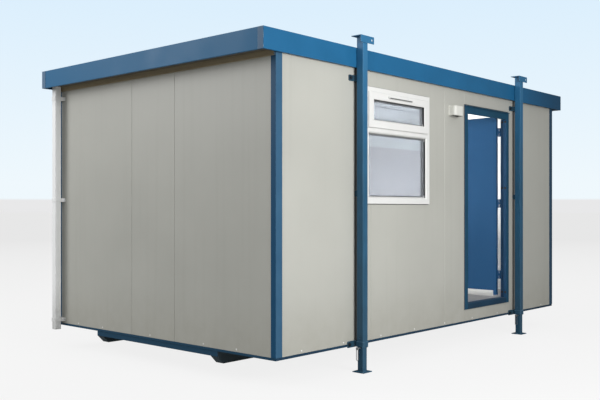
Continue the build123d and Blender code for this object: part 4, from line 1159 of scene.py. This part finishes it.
class CABIN_OT_weather_bar(bpy.types.Operator):
    """Fixes a sloped weather bar of white plastic across the foot of the door"""

    bl_idname = "cabin.weather_bar"
    bl_label = "Weather bar"

    def execute(self, context):
        low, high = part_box("door_leaf")
        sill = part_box("door_sill")[1].z
        clearance, height, proud, end_gap = 0.006, 0.062, 0.024, 0.035
        slim_box(
            Vector((low.x - proud, low.y + end_gap, sill + clearance)),
            Vector((low.x, high.y - end_gap, sill + clearance + height)),
        )
        pick("edges", lambda place, direction: abs(direction.y) > 0.9
             and place.x < 0 and place.z > 0)
        bpy.ops.mesh.bevel(offset=proud * 0.82, segments=1, affect="EDGES")
        pick("edges", lambda place, direction: abs(direction.y) > 0.9
             and place.x < -proud * 0.4)
        bpy.ops.mesh.bevel(offset=0.002, segments=2, affect="EDGES")
        complete(leave(), "door_weather_bar", "extruded_pvcu", "door")
        return {"FINISHED"}


class CABIN_OT_ceiling_strips(bpy.types.Operator):
    """Covers the joints of the ceiling boards with aluminium strips along the cabin"""

    bl_idname = "cabin.ceiling_strips"
    bl_label = "Ceiling strips"

    def execute(self, context):
        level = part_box("roof_deck")[0].z
        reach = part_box("floor_vinyl")[1].x - 0.01
        half_width, thickness, spacing = 0.022, 0.007, 0.75
        slim_box(
            Vector((-reach, -half_width, level - thickness)), Vector((reach, half_width, level))
        )
        pick("edges", lambda place, direction: abs(direction.x) > 0.9 and place.z < 0)
        bpy.ops.mesh.bevel(offset=0.004, segments=2, affect="EDGES")
        middle = level - thickness / 2
        places = [((0, row * spacing, middle), (0, 0, 0)) for row in (-1, 0, 1)]
        strips = spread(leave(), places)
        complete(strips, "ceiling_strips", "mill_finish_aluminium", "cabin")
        return {"FINISHED"}


class CABIN_OT_roof_screws(bpy.types.Operator):
    """Screws the roof sheet down through its ribs"""

    bl_idname = "cabin.roof_screws"
    bl_label = "Roof screws"

    def execute(self, context):
        rows = context.scene.cabin_fixings.roof_rows
        low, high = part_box("roof_sheet")
        inset, rib = 0.2, 0.25
        step = (high.x - low.x - 2 * inset) / (rows - 1)
        places = [((low.x + inset + row * step, side * rib, high.z), (0, 0, 0))
                  for row in range(rows) for side in range(-6, 7)]
        screws = spread(hex_bolt(0.012, 0.009), places)
        complete(screws, "roof_screws", "zinc_plated_steel", "cabin")
        return {"FINISHED"}


class CABIN_OT_sealant(bpy.types.Operator):
    """Runs a bead of sealant round the window and the door frame"""

    bl_idname = "cabin.sealant"
    bl_label = "Sealant"

    def execute(self, context):
        width = context.scene.cabin_fixings.sealant
        for node, name, open_foot in (
            ("window_frame", "window_sealant", False),
            ("door_frame", "door_sealant", True),
        ):
            low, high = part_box(node)
            low.y = high.y = -WALL_Y
            bead = wall_bead(low, high, width, width * 0.8, open_foot)
            complete(bead, name, "gunned_silicone_sealant", "cabin")
        return {"FINISHED"}


class CABIN_OT_studio(bpy.types.Operator):
    """Sets the pale floor, the soft lights, the pale air and the camera"""

    bl_idname = "cabin.studio"
    bl_label = "Studio"

    def execute(self, context):
        studio = context.scene.cabin_studio
        bpy.ops.object.select_all(action="DESELECT")
        bpy.ops.mesh.primitive_plane_add(size=600)
        floor = context.active_object
        floor.name = "studio_floor"
        material, tree, place = blank_material("studio_floor_paint")
        distance = add(tree, "ShaderNodeVectorMath", {0: place}, operation="LENGTH")
        fade = add(
            tree, "ShaderNodeMapRange",
            {"Value": distance, "From Min": 5.0, "From Max": 30.0, "To Min": 0.845, "To Max": 0.755},
        )
        paint = add(
            tree, "ShaderNodeBsdfPrincipled",
            {"Base Color": (0.36, 0.36, 0.35), "Roughness": 0.9, "Specular IOR Level": 0.0},
        )
        faint = add(
            tree, "ShaderNodeBsdfPrincipled",
            {"Base Color": (0.07, 0.07, 0.07), "Roughness": 0.9, "Specular IOR Level": 0.0,
             "Emission Color": (1, 1, 1), "Emission Strength": fade},
        )
        seen = add(tree, "ShaderNodeLightPath")
        both = add(
            tree, "ShaderNodeMixShader", {0: seen.outputs["Is Camera Ray"], 1: paint, 2: faint}
        )
        floor.data.materials.append(close_material(material, both))

        world = bpy.data.worlds.new("studio_air")
        context.scene.world = world
        world.use_nodes = True
        tree = world.node_tree
        tree.nodes.clear()
        look = add(tree, "ShaderNodeTexCoord").outputs["Generated"]
        up = add(tree, "ShaderNodeSeparateXYZ", {0: look})
        height = add(
            tree, "ShaderNodeMapRange",
            {"Value": up.outputs["Z"], "From Min": 0.03, "From Max": 0.24},
        )
        air = add(
            tree, "ShaderNodeMix", {SHARE: height, UNDER: studio.horizon, OVER: studio.sky},
            data_type="RGBA",
        )
        cove = add(
            tree, "ShaderNodeMapRange",
            {"Value": up.outputs["Z"], "From Min": 0.010, "From Max": 0.0125},
        )
        bent = add(
            tree, "ShaderNodeMix", {SHARE: cove, UNDER: "#E8E8E9", OVER: air}, data_type="RGBA"
        )
        backdrop = add(tree, "ShaderNodeBackground", {"Color": bent, "Strength": 1.0})
        overhead = add(
            tree, "ShaderNodeMapRange",
            {"Value": up.outputs["Z"], "To Min": studio.low_light, "To Max": studio.high_light},
        )
        sideways = add(
            tree, "ShaderNodeMapRange",
            {"Value": up.outputs["X"], "From Min": -0.6, "From Max": 0.8, "To Min": 1.0,
             "To Max": 0.5},
        )
        strength = add(tree, "ShaderNodeMath", {0: overhead, 1: sideways}, operation="MULTIPLY")
        soft = add(tree, "ShaderNodeBackground", {"Color": (0.98, 0.99, 1.0), "Strength": strength})
        seen = add(tree, "ShaderNodeLightPath")
        both = add(
            tree, "ShaderNodeMixShader", {0: seen.outputs["Is Camera Ray"], 1: soft, 2: backdrop}
        )
        add(tree, "ShaderNodeOutputWorld", {"Surface": both})

        target = Vector((-1.6, -1.5, 1.3))
        for name, place, size, power in (
            ("key_softbox", (-2.3, -6.4, 2.7), 2.0, studio.key),
            ("fill_softbox", (-7.0, 4.4, 4.6), 3.0, studio.fill),
            ("left_room_light", (-1.2, 0.2, 1.0), 1.6, studio.room * 0.42),
            ("right_room_light", (1.3, 0.4, 1.0), 1.6, studio.room * 1.5),
        ):
            bpy.ops.object.light_add(type="AREA", location=place)
            light = context.active_object
            light.name = name
            light.data.shape = "SQUARE"
            light.data.size = size
            light.data.energy = power
            if "room" in name:
                light.rotation_euler = (math.pi, 0, 0)
                light.visible_camera = light.visible_glossy = light.visible_transmission = False
            else:
                aim = (target - light.location).to_track_quat("-Z", "Y")
                light.rotation_euler = aim.to_euler()

        # the level camera looks this far round from straight at the wall with the door
        heading = math.atan2(0.7451, 0.6669)
        bpy.ops.object.camera_add(
            location=(-7.0005, -5.858, 1.3966),
            rotation=(math.radians(90), 0, -heading),
        )
        camera = context.active_object
        camera.name = "studio_camera"
        camera.data.lens = studio.focal
        camera.data.sensor_width = 36
        camera.data.shift_y = 0.015
        camera.data.clip_end = 1000
        context.scene.camera = camera
        context.scene.view_settings.view_transform = "Standard"
        return {"FINISHED"}


class CABIN_PT_panel(bpy.types.Panel):
    """Lists the cabin's sizes, colours and steps"""

    bl_idname = "CABIN_PT_panel"
    bl_label = "Portable Site Cabin"
    bl_space_type = "VIEW_3D"
    bl_region_type = "UI"
    bl_category = "Cabin"

    def draw(self, context):
        layout = self.layout
        for group in ("cabin_paints", "cabin_fixings", "cabin_studio"):
            box = layout.box()
            settings = getattr(context.scene, group)
            for name in settings.bl_rna.properties.keys():
                if name not in ("rna_type", "name"):
                    box.prop(settings, name)
        for step in STEPS:
            layout.operator(step.bl_idname)


STEPS = (
    CABIN_OT_studio,
    CABIN_OT_finishes,
    CABIN_OT_wall_rivets,
    CABIN_OT_bracket_bolts,
    CABIN_OT_clip_screws,
    CABIN_OT_door_screws,
    CABIN_OT_roof_screws,
    CABIN_OT_sealant,
    CABIN_OT_glazing_gaskets,
    CABIN_OT_vent_louvre,
    CABIN_OT_cowl_screen,
    CABIN_OT_weather_bar,
    CABIN_OT_ceiling_strips,
)
CLASSES = (CabinPaints, CabinFixings, CabinStudio, *STEPS, CABIN_PT_panel)


def register():
    for item in CLASSES:
        bpy.utils.register_class(item)
    bpy.types.Scene.cabin_paints = PointerProperty(type=CabinPaints)
    bpy.types.Scene.cabin_fixings = PointerProperty(type=CabinFixings)
    bpy.types.Scene.cabin_studio = PointerProperty(type=CabinStudio)


def unregister():
    del bpy.types.Scene.cabin_studio
    del bpy.types.Scene.cabin_fixings
    del bpy.types.Scene.cabin_paints
    for item in reversed(CLASSES):
        bpy.utils.unregister_class(item)


def main():
    """Registers the add-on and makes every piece."""
    register()
    for step in STEPS:
        group, name = step.bl_idname.split(".")
        getattr(getattr(bpy.ops, group), name)()


if __name__ == "__main__":
    main()
